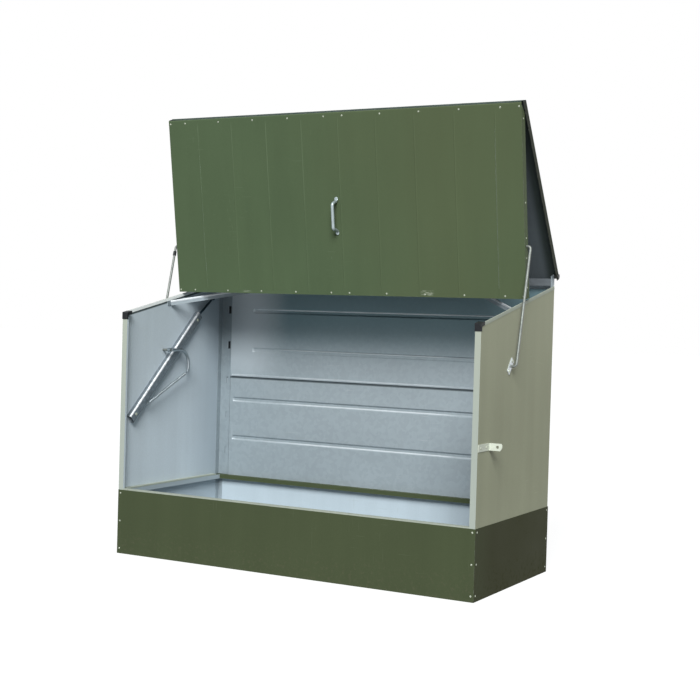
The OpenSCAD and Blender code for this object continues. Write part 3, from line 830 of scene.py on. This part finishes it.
def bar_tree(material):
    """A round bar along a path of straight runs, bent at the corners and beaten flat at its ends."""
    tree = Growth("Bent Bar", Float=("Radius", "Bend Radius", "Flat Length", "Flat Width",
                                     "Flat Thickness"), Vector=("Flat Facing",))
    radius, facing = tree.given["Radius"], tree.given["Flat Facing"]
    path = tree.step("MeshToCurve", {"Mesh": tree.given["Geometry"]})
    bent = tree.step("FilletCurve", {"Curve": path, "Radius": tree.given["Bend Radius"], "Count": 8,
                                     "Limit Radius": True}, mode="POLY")
    even = tree.step("ResampleCurve", {"Curve": bent, "Length": 0.0015}, mode="LENGTH")
    spot = tree.step("InputPosition")
    even = tree.keep(even, "spine", spot, "FLOAT_VECTOR")
    run = tree.put("GeometryNodeSplineParameter").outputs["Length"]
    whole = tree.put("GeometryNodeSplineLength").outputs["Length"]
    left = tree.math("MINIMUM", run, tree.math("SUBTRACT", whole, run))
    tube = tree.tube(tree.keep(even, "left", left, "FLOAT"), 20, radius)
    spine, left = tree.kept("spine", "FLOAT_VECTOR"), tree.kept("left", "FLOAT")
    flat, wide = tree.given["Flat Length"], tree.given["Flat Width"]
    weight = tree.fade(left, flat, tree.product(flat, 0.7))
    offset = tree.vector("SUBTRACT", spot, spine)
    inward = tree.scaled(facing, tree.vector("DOT_PRODUCT", offset, facing, out="Value"))
    aside = tree.vector("SUBTRACT", offset, inward)
    across = tree.product(radius, 2.0)
    thin = tree.blended(weight, 1.0, tree.math("DIVIDE", tree.given["Flat Thickness"], across))
    start = tree.math("DIVIDE", left, tree.product(wide, 0.5))
    lack = tree.math("MAXIMUM", tree.rest(start), 0.0)
    bow = tree.math("SQRT", tree.math("MAXIMUM", tree.rest(tree.product(lack, lack)), 0.02))
    wide = tree.blended(weight, 1.0, tree.product(tree.math("DIVIDE", wide, across), bow))
    beaten = tree.vector("ADD", tree.scaled(inward, thin), tree.scaled(aside, wide))
    bar = tree.step("SetPosition", {"Geometry": tube, "Position": tree.vector("ADD", spine, beaten)})
    return tree.close(tree.smooth(bar), material)


def bent_bar(name, path, finish, sizes):
    """A bar of the bent-bar tree along a path, in one finish."""
    mesh = bpy.data.meshes.new(name)
    mesh.from_pydata([tuple(point) for point in path], [(k, k + 1) for k in range(len(path) - 1)], [])
    return grow(name, mesh, bar_tree(MATERIALS[finish]), sizes, 50)


def coil_tree(material):
    """A close coil of round wire on every seed point, standing along its facing."""
    tree = Growth("Coils", Float=("Turns", "Coil Radius", "Wire Radius", "Length"))
    radius = tree.given["Coil Radius"]
    coil = tree.step("CurveSpiral", {"Resolution": 14, "Rotations": tree.given["Turns"],
                                     "Start Radius": radius, "End Radius": radius,
                                     "Height": tree.given["Length"]})
    wire = tree.smooth(tree.tube(coil, 7, tree.given["Wire Radius"]))
    spots = tree.step("InstanceOnPoints", {"Points": tree.given["Geometry"], "Instance": wire,
                                           "Rotation": tree.aligned()})
    return tree.close(spots, material)


# ---------------------------------------------------------------- pieces of the store

def door_sheet(look):
    """The door's outer skin: one coated sheet with upright swages at an even pitch."""
    pitch = 2 * DOOR_HALF / look.door_pitches
    swages = [-DOOR_HALF + pitch * (k - 0.13) for k in range(1, math.ceil(look.door_pitches))]
    shares = (-0.75, -0.5, -0.36, -0.2, 0.0, 0.2, 0.36, 0.5, 0.75)
    columns = spread(-DOOR_HALF, DOOR_HALF, 0.12)
    columns += [x + look.swage_width * t for x in swages for t in shares]
    columns = merged(columns, 0.0006)
    knuckle = Vector((0.0, HINGE.y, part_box("door_hinge")[1].z - 0.0035))
    axis = DOOR_AXES @ knuckle
    curl = axis.y - DOOR_SKIN
    foot = -DOOR_REACH
    rows = [foot, foot + 0.012, foot + 0.03] + spread(foot + 0.05, -0.045, 0.15)
    rows = merged(rows + [-0.025, -0.010, -0.0012], 0.0006)
    rows += [axis.z + curl * math.radians(turn) for turn in range(0, 91, 10)]

    def swage(u, v):
        near = min(abs(u - x) for x in swages) / (look.swage_width / 2)
        ends = ease((v - foot - 0.008) / 0.02) * ease((-0.014 - v) / 0.018)
        return ease(1.25 * (1.0 - near)) * ends

    def front(u, v):
        turn = max(0.0, v - axis.z) / curl
        rolled = axis + curl * Vector((0.0, -math.cos(turn), math.sin(turn)))
        flat = Vector((0.0, DOOR_SKIN - look.swage_depth * swage(u, v), v))
        return Vector((u, 0.0, 0.0)) + (rolled if turn else flat)

    sheet = pressed_sheet("door_sheet", columns, rows, front, swage, "door", 40, DOOR_PLACE)
    settle(sheet, "door", "green", "door_panel_left", "door_panel_right")


def beaded_sheet(name, node, beads, look, hem=0.0):
    """Sheet with beads pressed to the rear, each (level, reach, edge that takes a painted highlight),
    and maybe a hem.
    """
    low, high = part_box(node)
    face_y = high.y - SHEET - RIB_DEPTH
    half_bead = look.bead_width / 2
    hem_half = high.x - 0.075
    hem_depth = face_y - low.y
    columns, rows = spread(low.x, high.x, 0.25), spread(low.z, high.z, 0.06)
    for z, reach, bright in beads:
        rows += [z + half_bead * t for t in [-1.2, 1.2] + [k / 6 for k in range(-6, 7)]]
        columns += [side * (reach + half_bead * t) for side in SIDES
                    for t in (-0.5, 0.0, 0.25, 0.5, 0.7, 0.85, 1.0, 1.2)]
    if hem:
        rows += [low.z + hem * t for t in (0.12, 0.3, 0.5, 0.65, 0.75, 0.85, 0.93, 1.0, 1.1)]
        columns += [side * (hem_half + t) for side in SIDES for t in (-0.002, 0.0, 0.001)]

    def away(u, v, bead):
        beyond = max(0.0, abs(u) - bead[1]) / half_bead
        return (beyond ** 4 + (abs(v - bead[0]) / half_bead) ** 4) ** 0.25

    def hemmed(u, v):
        if not hem or abs(u) > hem_half:
            return 0.0
        t = (v - low.z) / hem
        return math.sqrt(max(0.0, 1.0 - max(0.0, (t - 0.45) / 0.55) ** 2))

    def front(u, v):
        lift = max([ease((1.0 - away(u, v, bead)) / 0.5) for bead in beads])
        return Vector((u, face_y + look.bead_depth * lift - hem_depth * hemmed(u, v), v))

    # Painted highlights kept in the mesh: a line along one edge of each bead, and a band on the hem.
    def painted_highlight(u, v):
        value = 0.0
        for z, reach, bright in beads:
            within = ease((reach + half_bead - abs(u)) / 0.01)
            value = max(value, within * ease(1.0 - abs((v - z) / half_bead - bright) / 0.34))
        if hem:
            value = max(value, 0.8 * hemmed(u, v) * ease(1.0 - abs((v - low.z) / hem - 0.72) / 0.3))
        return value

    columns, rows = merged(columns, 0.0009), merged(rows, 0.0009)
    sheet = pressed_sheet(name, columns, rows, front, painted_highlight, "back", 50)
    settle(sheet, "frame", "galvanised", node)


def spring_channels(look):
    """Drawn channels that slant up both side walls, with rounded folds, one of them with a painted
    highlight.
    """
    angle, foot, head = channel_line(look)
    along = Vector((0.0, math.cos(angle), math.sin(angle)))
    across = Vector((0.0, -math.sin(angle), math.cos(angle)))
    end = foot + along * (head.y - foot.y) / math.cos(angle)
    wall = 0.0018
    reach = (look.channel_width - wall) / 2
    deep = look.channel_depth - wall / 2
    outline, ridges = folded([(-reach, 0.0), (-reach, deep), (reach, deep), (reach, 0.0)], wall,
                             0.009, bright=(1,))
    runs = both_sides(foot, end, across, -ACROSS)
    bars = drawn_bars("spring_channels", outline, ridges, runs, "drawn")
    settle(bars, "frame", "galvanised", "spring_channels")


def brace_caps():
    """Bright folded caps along the top edges of the corner braces, both folds with a painted
    highlight.
    """
    low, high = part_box("corner_braces")
    half, lip, foot, top = 0.012, 0.0022, 0.004, 0.0128
    outline, ridges = folded([(-lip, foot), (-lip, top), (lip, top), (lip, foot)], 0.0012, 0.0016,
                             bright=(0, 1))
    start = Vector((high.x - 0.004, low.y + 0.024, low.z + half))
    end = Vector((BRACE_END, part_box("corner_posts")[1].y - 0.0285, high.z - half))
    along = (end - start).normalized()
    across = along.cross(UP).normalized()
    runs = both_sides(start, end, across, across.cross(along))
    settle(drawn_bars("brace_caps", outline, ridges, runs, "bright"), "frame", "zinc")


def rim_trims():
    """Folded trims over the top edges of the side walls."""
    front, rear = wall_top()
    lip, wall = SHEET / 2 + 0.0006, 0.0012
    outline, ridges = folded([(-lip, -RIM_DROP), (-lip, wall / 2), (lip, wall / 2), (lip, -RIM_DROP)],
                             wall, 0.0009)
    along = (rear - front).normalized()
    runs = both_sides(front, rear - along * 0.003, ACROSS, Vector((0.0, -along.z, along.y)))
    settle(drawn_bars("rim_trims", outline, ridges, runs, "trim"), "frame", "pale", "wall_trims")


def back_flange():
    """Folded strip that closes the slot between the back wall's top and the rear rail."""
    wall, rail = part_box("back_wall_upper")[1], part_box("rear_rail")[1]
    thick, drop, lap = 0.0012, 0.014, 0.004
    front = wall.y - SHEET - RIB_DEPTH
    outline, ridges = folded([(0.0, -drop), (0.0, 0.0), (front - rail.y + lap, 0.0)], thick, 0.0015)
    end = Vector((rail.x - 0.012, front - thick / 2, wall.z - thick / 2))
    start = end * Vector((-1.0, 1.0, 1.0))
    strip = drawn_bars("back_flange", outline, ridges, [(start, end, -BACK, UP)], "galvanised")
    settle(strip, "frame", "galvanised")


def post_slot_fills():
    """Black pieces set into the two upper slots of each corner post."""
    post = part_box("corner_posts")[1]
    wide, tall, corner, deep = 0.006, 0.02, 0.0025, 0.005
    inset, sunk, levels = 0.0525, 0.001, (1.0145, 1.204)
    outline = []
    for x, z, quarter in ((1, 1, 0), (-1, 1, 90), (-1, -1, 180), (1, -1, 270)):
        for turn in range(quarter, quarter + 91, 15):
            round_off = Vector((math.cos(math.radians(turn)), math.sin(math.radians(turn)))) * corner
            outline.append(Vector((x * (wide - corner), z * (tall - corner))) + round_off)
    runs = []
    for side in SIDES:
        for z in levels:
            spot = Vector((side * (post.x - inset), post.y - sunk, z))
            runs.append((spot, spot - BACK * deep, ACROSS, UP))
    plugs = drawn_bars("post_slot_fills", outline, [0.0] * len(outline), runs, "black_plastic")
    settle(plugs, "frame", "black_plastic")


def door_handle(look):
    """The pull handle: a bent bar with flattened eyes."""
    low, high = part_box("door_handle")
    centre = (DOOR_AXES @ middle("door_handle")).z
    foot = -(high.z - low.z) / 2 / math.cos(DOOR_LEAN)
    near, far = DOOR_SKIN - 0.0018, DOOR_SKIN - 0.04
    rise = [(foot + 0.001, near), (foot + 0.021, near), (foot + 0.032, far)]
    fall = [(-z, y) for z, y in rise[::-1]]
    path = [DOOR_PLACE @ Vector((0.0, y, centre + z)) for z, y in rise + fall]
    facing = DOOR_PLACE.to_3x3() @ -BACK
    sizes = {"Radius": look.handle_radius, "Bend Radius": 0.013, "Flat Length": 0.024,
             "Flat Width": 0.0185, "Flat Thickness": 0.0034, "Flat Facing": facing}
    settle(bent_bar("door_handle", path, "handle", sizes), "door", "zinc", "door_handle")


def lever_bars(look):
    """The bent levers inside the walls, with beaten eyes."""
    hub = middle("rod_brackets")
    hub.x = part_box("spring_levers")[1].x - LEVER_HALF
    elbow = hub + BACK * LEVER_REACH
    sizes = {"Radius": look.lever_radius, "Bend Radius": 0.074, "Flat Length": 0.02,
             "Flat Width": 0.019, "Flat Thickness": 0.011, "Flat Facing": ACROSS}
    paths = both_sides(hub, elbow, elbow - UP * LEVER_FOOT)
    for name, path in zip(("lever_left", "lever_right"), paths):
        settle(bent_bar(name, path, "lever", sizes), "link_arms", "zinc")


def spring_coils(look):
    """Coil springs over the thin rods that hang from the levers."""
    hub = middle("rod_brackets")
    hub.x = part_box("spring_levers")[1].x - LEVER_HALF
    low, high = hub + Vector((0.0, *COIL_LOW)), hub + Vector((0.0, *COIL_HIGH))
    along = (high - low).normalized()
    length = (high - low).length - 0.05
    places = [(start, along, 1.0) for start, in both_sides(low + along * 0.022)]
    sizes = {"Turns": length / look.coil_pitch, "Coil Radius": look.coil_radius,
             "Wire Radius": look.coil_wire, "Length": length}
    tree = coil_tree(MATERIALS["lever"])
    coils = grow("spring_coils", seed_points("spring_coils", places), tree, sizes)
    settle(coils, "link_arms", "zinc")


def frame_screws(look):
    """Screws of the base, rod brackets, locking tabs and channels: (point, way it faces, size)."""
    places = []

    def add(side, x, y, z, way, size):
        places.append((Vector((side * x, y, z)), (side * way[0], way[1], 0), size))

    low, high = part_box("base_front")
    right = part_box("base_right")[1].x
    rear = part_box("base_back")[1].y
    inset = look.corner_screw_inset
    for z in (low.z + 0.026, (low.z + high.z) / 2 + 0.004, high.z - 0.016):
        for side in SIDES:
            add(side, right - inset, low.y, z, (0, -1), 0.75)
            add(side, right - inset, rear, z, (0, 1), 0.75)
            for y in (low.y + inset + 0.004, rear - inset - 0.004):
                add(side, right, y, z, (1, 0), 0.75)
    bracket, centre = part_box("rod_brackets")[1].x, middle("rod_brackets")
    lean = math.radians(40)
    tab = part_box("padlock_tabs")[0].y
    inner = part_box("spring_channels")[1].x - look.channel_depth
    foot, head = channel_line(look)[1:]
    for side in SIDES:
        for reach in (-0.028, 0.028):
            add(side, bracket, centre.y + reach * math.sin(lean), centre.z + reach * math.cos(lean),
                (1, 0), 1.3)
        for y in (tab + 0.022, tab + 0.085):
            add(side, right + 0.001, y, middle("padlock_tabs").z, (1, 0), 1.1)
        for share in (0.05, 0.95):
            spot = foot.lerp(head, share)
            add(side, inner, spot.y, spot.z, (-1, 0), 1.4)
    return places


def door_screws(look):
    """Screws along the door's top, foot and sides: (point, way it faces, size)."""
    outward = DOOR_PLACE.to_3x3() @ -BACK
    pitches = look.door_pitches
    edge, centre, left = 0.055, pitches / 2, [0.5 + k for k in range(4)]
    along = [edge] + left + [centre - 0.25, centre + 0.25] + [pitches - k for k in left + [edge]]
    places = []
    for k in along:
        x = DOOR_HALF * (2 * k / pitches - 1)
        for z in (-0.006, 0.012 - DOOR_REACH):
            places.append((DOOR_PLACE @ Vector((x, DOOR_SKIN, z)), outward, 0.75))
    for side in SIDES:
        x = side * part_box("door_sides")[1].x
        for z in (-0.06, -DOOR_REACH / 2, 0.05 - DOOR_REACH, -0.59, -0.68):
            places.append((DOOR_PLACE @ Vector((x, DOOR_SKIN + 0.02, z)), (side, 0, 0), 0.7))
    return places


# ---------------------------------------------------------------- settings

def number_setting(name, description, default, **limits):
    """A number a user may change."""
    return bpy.props.FloatProperty(name=name, description=description, default=default, **limits)


def length_setting(name, description, default):
    """A length in metres a user may change."""
    return number_setting(name, description, default, min=0.0, precision=4, subtype="DISTANCE",
                          unit="LENGTH")


def share_setting(name, description, default):
    """A share from 0 to 1 a user may change."""
    return number_setting(name, description, default, min=0.0, max=1.0, subtype="FACTOR")


def angle_setting(name, description, default):
    """An angle a user may change."""
    return number_setting(name, description, default, subtype="ANGLE", unit="ROTATION")


def colour_setting(name, description, default):
    """A colour a user may change."""
    return bpy.props.FloatVectorProperty(name=name, description=description, default=default,
                                         subtype="COLOR", size=3, min=0.0, max=1.0)


class StoreFinish(bpy.types.PropertyGroup):
    """Colours and condition of the store's finishes"""

    olive: colour_setting("Olive", "Coat of the door and lid", (0.084, 0.121, 0.064))
    warm_olive: colour_setting("Warm olive", "Browner patches of the door", (0.105, 0.118, 0.06))
    base_olive: colour_setting("Base olive", "Coat of the base", (0.061, 0.076, 0.039))
    # Painted shade on the base's outer ends.
    base_end_shade: colour_setting("Base film", "Grime on the ends of the base", (0.025, 0.027, 0.0075))
    # Near black: painted shade on the strip hinge under the lid's front fold.
    hinge: colour_setting("Hinge", "Strip hinge of the door", (0.02, 0.035, 0.03))
    # Near black: painted shade on the lid's side flanges.
    lid_flange: colour_setting("Lid flanges", "Side flanges of the lid", (0.03, 0.034, 0.024))
    sage: colour_setting("Sage", "Coat of the side walls", (0.33, 0.34, 0.243))
    # The trim's inner lip is painted near white as painted light.
    trim: colour_setting("Rim trim", "Trims over the walls' top edges", (0.4, 0.43, 0.36))
    sill: colour_setting("Sills", "Strips along the base's top edge", (0.36, 0.39, 0.33))
    # Painted shade that darkens the back wall's inner face towards the top.
    painted_shade: colour_setting("Film", "Dark film on the back wall's top", (0.028, 0.13, 0.155))
    # Darker than the other zinc: painted shade on the rear rail under the lid.
    rail: colour_setting("Rear rail", "Rail between the hinge brackets", (0.137, 0.152, 0.165))
    bright: colour_setting("Bright plated", "Brace caps and rod brackets", (0.66, 0.7, 0.73))
    rod: colour_setting("Rods", "Link rods beside the walls", (0.22, 0.235, 0.22))
    lever: colour_setting("Levers", "Bent levers and their coil springs", (0.42, 0.47, 0.5))
    handle: colour_setting("Handle", "Pull handle of the door", (0.42, 0.49, 0.51))
    screw: colour_setting("Screws", "Screw heads", (0.5, 0.53, 0.44))
    post: colour_setting("Corner posts", "Slotted angles in the rear corners", (0.3, 0.35, 0.38))
    tail: colour_setting("Blued steel", "Spring rods", (0.03, 0.055, 0.07))
    back_coat: colour_setting("Back coat", "Inner side of the coated sheets", (0.58, 0.65, 0.7))
    # Partly the grey back coat, lightened as painted light inside the base.
    lightened_base_back_coat: colour_setting("Base back coat", "Inner side of the base", (0.45, 0.52, 0.57))
    # The lid's grey back coat, darkened as painted shade.
    shaded_lid_back_coat: colour_setting("Lid back coat", "Inner side of the lid", (0.12, 0.138, 0.15))
    # Painted light on the walls' front-facing faces.
    flange: colour_setting("Front flanges", "Faded front edges of the walls", (0.4, 0.44, 0.4))
    channel: colour_setting("Channels", "Drawn channels of the lift springs", (0.235, 0.27, 0.3))
    pale: colour_setting("Pale trim", "Coat of the locking tabs", (0.62, 0.65, 0.56))
    zinc: colour_setting("Galvanised", "Inner sheets, floor and frame", (0.32, 0.37, 0.4))
    plated: colour_setting("Plated", "Plain plated steel", (0.34, 0.36, 0.37))
    # The same black fills the posts' upper slots.
    black: colour_setting("Moulding", "Corner caps, post plugs and rod collar", (0.008, 0.009, 0.011))
    dark: colour_setting("Dark steel", "Hinge pins", (0.06, 0.06, 0.062))
    gloss: share_setting("Gloss", "Mirror level of the coats", 0.07)
    wear: share_setting("Wear", "Rubs and worn edges", 0.55)
    grime: share_setting("Grime", "Dust, splashes and bloom", 0.5)

    def scuffs(self):
        """Marks above the door's foot: left end, right end and height."""
        left = -DOOR_HALF
        return ((left + 0.4, left + 0.437, 0.012), (left + 1.395, left + 1.452, 0.024))


class StoreSheets(bpy.types.PropertyGroup):
    """Pressed shapes, drawn bars and fasteners of the store"""

    door_pitches: number_setting("Door pitches", "Screw pitches across the door", 9.5, min=4.0)
    swage_width: length_setting("Swage width", "Upright rib pressed in the door", 0.007)
    swage_depth: length_setting("Swage depth", "How far the rib stands out", 0.0014)
    bead_width: length_setting("Bead width", "Bead pressed in the back wall", 0.026)
    bead_depth: length_setting("Bead depth", "How far the bead stands out", 0.0058)
    hem_height: length_setting("Hem height", "Rolled foot of the upper back sheet", 0.0115)
    channel_width: length_setting("Channel width", "Width of the spring channels", 0.048)
    channel_depth: length_setting("Channel depth", "Depth of the spring channels", 0.026)
    handle_radius: length_setting("Handle radius", "Half the width of the handle's bar", 0.0078)
    lever_radius: length_setting("Lever radius", "Half the width of the bent levers", 0.0085)
    coil_radius: length_setting("Coil radius", "Middle of the coil springs' wire", 0.0055)
    coil_wire: length_setting("Coil wire", "Half the width of that wire", 0.0014)
    coil_pitch: length_setting("Coil pitch", "From turn to turn", 0.0048)
    corner_screw_inset: length_setting("Corner screw inset", "From the base's corner", 0.014)
    screw_radius: length_setting("Screw radius", "Radius of a screw's head", 0.004)
    screw_height: length_setting("Screw height", "Height of a screw's head", 0.0028)


class StoreStage(bpy.types.PropertyGroup):
    """Floor, light and camera"""

    floor: colour_setting("Floor", "Colour of the plain floor", (0.25, 0.25, 0.25))
    key: number_setting("Key light", "Strength of the main light", 4.1, min=0.0)
    key_side: angle_setting("Key side", "How far right the light stands", math.radians(24))
    key_height: angle_setting("Key height", "Angle above the ground", math.radians(38))
    key_spread: angle_setting("Key spread", "How wide the light looks", math.radians(30))
    floor_glow: number_setting("Floor glow", "Lifts the floor to white", 0.8, min=0.0)
    sky: number_setting("Sky light", "Strength of the even light", 0.22, min=0.0)
    eye: bpy.props.FloatVectorProperty(name="Camera", description="Where the camera stands",
                                       default=(3.19604, -5.64448, 1.21383),
                                       subtype="TRANSLATION", unit="LENGTH", size=3)
    yaw: angle_setting("Yaw", "Camera turned left of straight on", 0.505460)
    pitch: angle_setting("Pitch", "Camera turned up", -0.0225583)
    roll: angle_setting("Roll", "Camera turned about its view", 0.0284191)
    lens: number_setting("Lens", "Focal length in millimetres", 69.17, min=10.0)


# ---------------------------------------------------------------- operators

class StoreOperator:
    """What every step of the dressing shares"""

    bl_options = {"REGISTER", "UNDO"}

    def execute(self, context):
        scene = context.scene
        self.make(scene.store_finish, scene.store_sheets, scene.store_stage)
        return {"FINISHED"}


class STORE_OT_finishes(StoreOperator, bpy.types.Operator):
    """Give every CAD node the finish of its slot"""

    bl_idname = "store.finishes"
    bl_label = "Finishes"

    def make(self, finish, sheets, stage):
        make_materials(finish)
        for part in frame["record"]["subparts"]:
            node = frame["nodes"][part["node"]]
            slot = part["material_slot"]
            body = body_of(node)[0]
            key = body if slot == "green" and body in MATERIALS else slot
            node.material_slots[0].material = MATERIALS[NODE_FINISH.get(part["node"], key)]


class STORE_OT_door_sheet(StoreOperator, bpy.types.Operator):
    """Press the door's skin from one coated sheet"""

    bl_idname = "store.door_sheet"
    bl_label = "Door sheet"

    def make(self, finish, sheets, stage):
        door_sheet(sheets)


class STORE_OT_back_wall(StoreOperator, bpy.types.Operator):
    """Press the two beaded sheets of the back wall and fold the strip on its top"""

    bl_idname = "store.back_wall"
    bl_label = "Back wall"

    def make(self, finish, sheets, stage):
        # A bead's last value puts its painted highlight on its lower (-) or upper (+) edge.
        lower = [(z, 0.855, -0.6) for z in (0.516, 0.722)]
        upper = [(z, 0.735, 0.6) for z in (0.992, 1.202)]
        beaded_sheet("back_sheet_lower", "back_wall_lower", lower, sheets)
        beaded_sheet("back_sheet_upper", "back_wall_upper", upper, sheets, sheets.hem_height)
        back_flange()


class STORE_OT_bars(StoreOperator, bpy.types.Operator):
    """Draw the spring channels, rim trims, brace caps and the black pieces in the post slots"""

    bl_idname = "store.bars"
    bl_label = "Channels, trims and braces"

    def make(self, finish, sheets, stage):
        spring_channels(sheets)
        rim_trims()
        brace_caps()
        post_slot_fills()


class STORE_OT_levers(StoreOperator, bpy.types.Operator):
    """Bend the levers and wind their coil springs"""

    bl_idname = "store.levers"
    bl_label = "Levers and coils"

    def make(self, finish, sheets, stage):
        lever_bars(sheets)
        spring_coils(sheets)


class STORE_OT_handle(StoreOperator, bpy.types.Operator):
    """Bend the door's handle"""

    bl_idname = "store.handle"
    bl_label = "Handle"

    def make(self, finish, sheets, stage):
        door_handle(sheets)


class STORE_OT_screws(StoreOperator, bpy.types.Operator):
    """Set the screws of the fixed body and the door"""

    bl_idname = "store.screws"
    bl_label = "Screws"

    def make(self, finish, sheets, stage):
        tree = screw_tree(MATERIALS["screw"])
        radius = sheets.screw_radius
        sizes = {"Head Radius": radius, "Head Height": sheets.screw_height,
                 "Flange Radius": 1.4 * radius, "Recess Width": 0.28 * radius, "Seed": 4}
        for body, places in (("frame", frame_screws(sheets)), ("door", door_screws(sheets))):
            name = body + "_screws"
            settle(grow(name, seed_points(name, places), tree, sizes), body, "zinc")


class STORE_OT_stage(StoreOperator, bpy.types.Operator):
    """Lay the floor, set the lights and stand the camera"""

    bl_idname = "store.stage"
    bl_label = "Stage"

    def make(self, finish, sheets, stage):
        lay_floor(stage)
        light_studio(stage)
        stand_camera(stage)


def seen_mix(tree, plain, seen):
    """One shader, and another for rays from the camera, off a mirror or through glass."""
    path = tree.put("ShaderNodeLightPath").outputs
    ray = tree.math("MAXIMUM", path["Is Camera Ray"], path["Is Glossy Ray"])
    ray = tree.math("MAXIMUM", ray, path["Is Transmission Ray"])
    return tree.first("ShaderNodeMixShader", {0: ray, 1: plain, 2: seen})


def lay_floor(stage):
    """A plain floor that stays white away from the store's shadow."""
    size = 40.0
    corners = [(-size, -size, 0), (size, -size, 0), (size, size, 0), (-size, size, 0)]
    floor = new_piece("floor", corners, [(0, 1, 2, 3)], None)
    material = bpy.data.materials.new("studio_floor")
    material.use_nodes = True
    tree = Wiring(material.node_tree)
    plain = tree.first("ShaderNodeBsdfDiffuse", {"Color": (*stage.floor, 1.0)})
    lift = tree.first("ShaderNodeEmission", {"Color": (1, 1, 1, 1), "Strength": stage.floor_glow})
    lifted = tree.first("ShaderNodeAddShader", {0: plain, 1: lift})
    tree.put("ShaderNodeOutputMaterial", {"Surface": seen_mix(tree, plain, lifted)})
    floor.data.materials.append(material)


def light_studio(stage):
    """Weak even light and one wide, soft lamp, high ahead and a little to the right."""
    scene = bpy.context.scene
    scene.world = bpy.data.worlds.new("studio")
    scene.world.use_nodes = True
    tree = Wiring(scene.world.node_tree)
    sky = tree.first("ShaderNodeBackground", {"Color": (0.95, 0.98, 1.0, 1.0), "Strength": stage.sky})
    white = tree.first("ShaderNodeBackground", {"Color": (1, 1, 1, 1), "Strength": 1.0})
    tree.put("ShaderNodeOutputWorld", {"Surface": seen_mix(tree, sky, white)})
    lamp = bpy.data.lights.new("key", "SUN")
    lamp.energy = stage.key
    lamp.angle = stage.key_spread
    lamp.color = (0.97, 1.0, 1.0)
    key = bpy.data.objects.new("key", lamp)
    scene.collection.objects.link(key)
    turn = Matrix.Rotation(stage.key_side, 4, "Z")
    turn @= Matrix.Rotation(RIGHT_ANGLE - stage.key_height, 4, "X")
    key.matrix_world = Matrix.Translation((0.0, -6.0, 5.0)) @ turn


def stand_camera(stage):
    """The camera at its place, with a small shift for the framing."""
    scene = bpy.context.scene
    data = bpy.data.cameras.new("camera")
    data.sensor_width = 36.0
    data.lens = stage.lens
    data.shift_x = 0.00187
    data.shift_y = -0.01174
    data.clip_end = 200.0
    camera = bpy.data.objects.new("camera", data)
    scene.collection.objects.link(camera)
    turn = Matrix.Rotation(stage.yaw, 4, "Z")
    turn @= Matrix.Rotation(RIGHT_ANGLE + stage.pitch, 4, "X")
    turn @= Matrix.Rotation(stage.roll, 4, "Z")
    camera.matrix_world = Matrix.Translation(stage.eye) @ turn
    scene.camera = camera
    scene.view_settings.view_transform = "Standard"


STEPS = (STORE_OT_finishes, STORE_OT_door_sheet, STORE_OT_back_wall, STORE_OT_bars,
         STORE_OT_levers, STORE_OT_handle, STORE_OT_screws, STORE_OT_stage)
GROUPS = {"store_finish": StoreFinish, "store_sheets": StoreSheets, "store_stage": StoreStage}


class STORE_PT_panel(bpy.types.Panel):
    """The steps of the dressing and their settings"""

    bl_idname = "STORE_PT_panel"
    bl_label = "Bicycle Store"
    bl_space_type = "VIEW_3D"
    bl_region_type = "UI"
    bl_category = "Bicycle Store"

    def draw(self, context):
        for name, group in GROUPS.items():
            box = self.layout.box()
            for setting in group.__annotations__:
                box.prop(getattr(context.scene, name), setting)
        for step in STEPS:
            self.layout.operator(step.bl_idname)


CLASSES = (*GROUPS.values(), *STEPS, STORE_PT_panel)


def register():
    """Adds the classes and the scene's settings."""
    for known in CLASSES:
        bpy.utils.register_class(known)
    for name, group in GROUPS.items():
        setattr(bpy.types.Scene, name, bpy.props.PointerProperty(type=group))


def unregister():
    """Takes them away again."""
    for name in GROUPS:
        delattr(bpy.types.Scene, name)
    for known in reversed(CLASSES):
        bpy.utils.unregister_class(known)


def main():
    """Runs every step in order."""
    register()
    for step in STEPS:
        family, action = step.bl_idname.split(".")
        getattr(getattr(bpy.ops, family), action)()


if __name__ == "__main__":
    main()
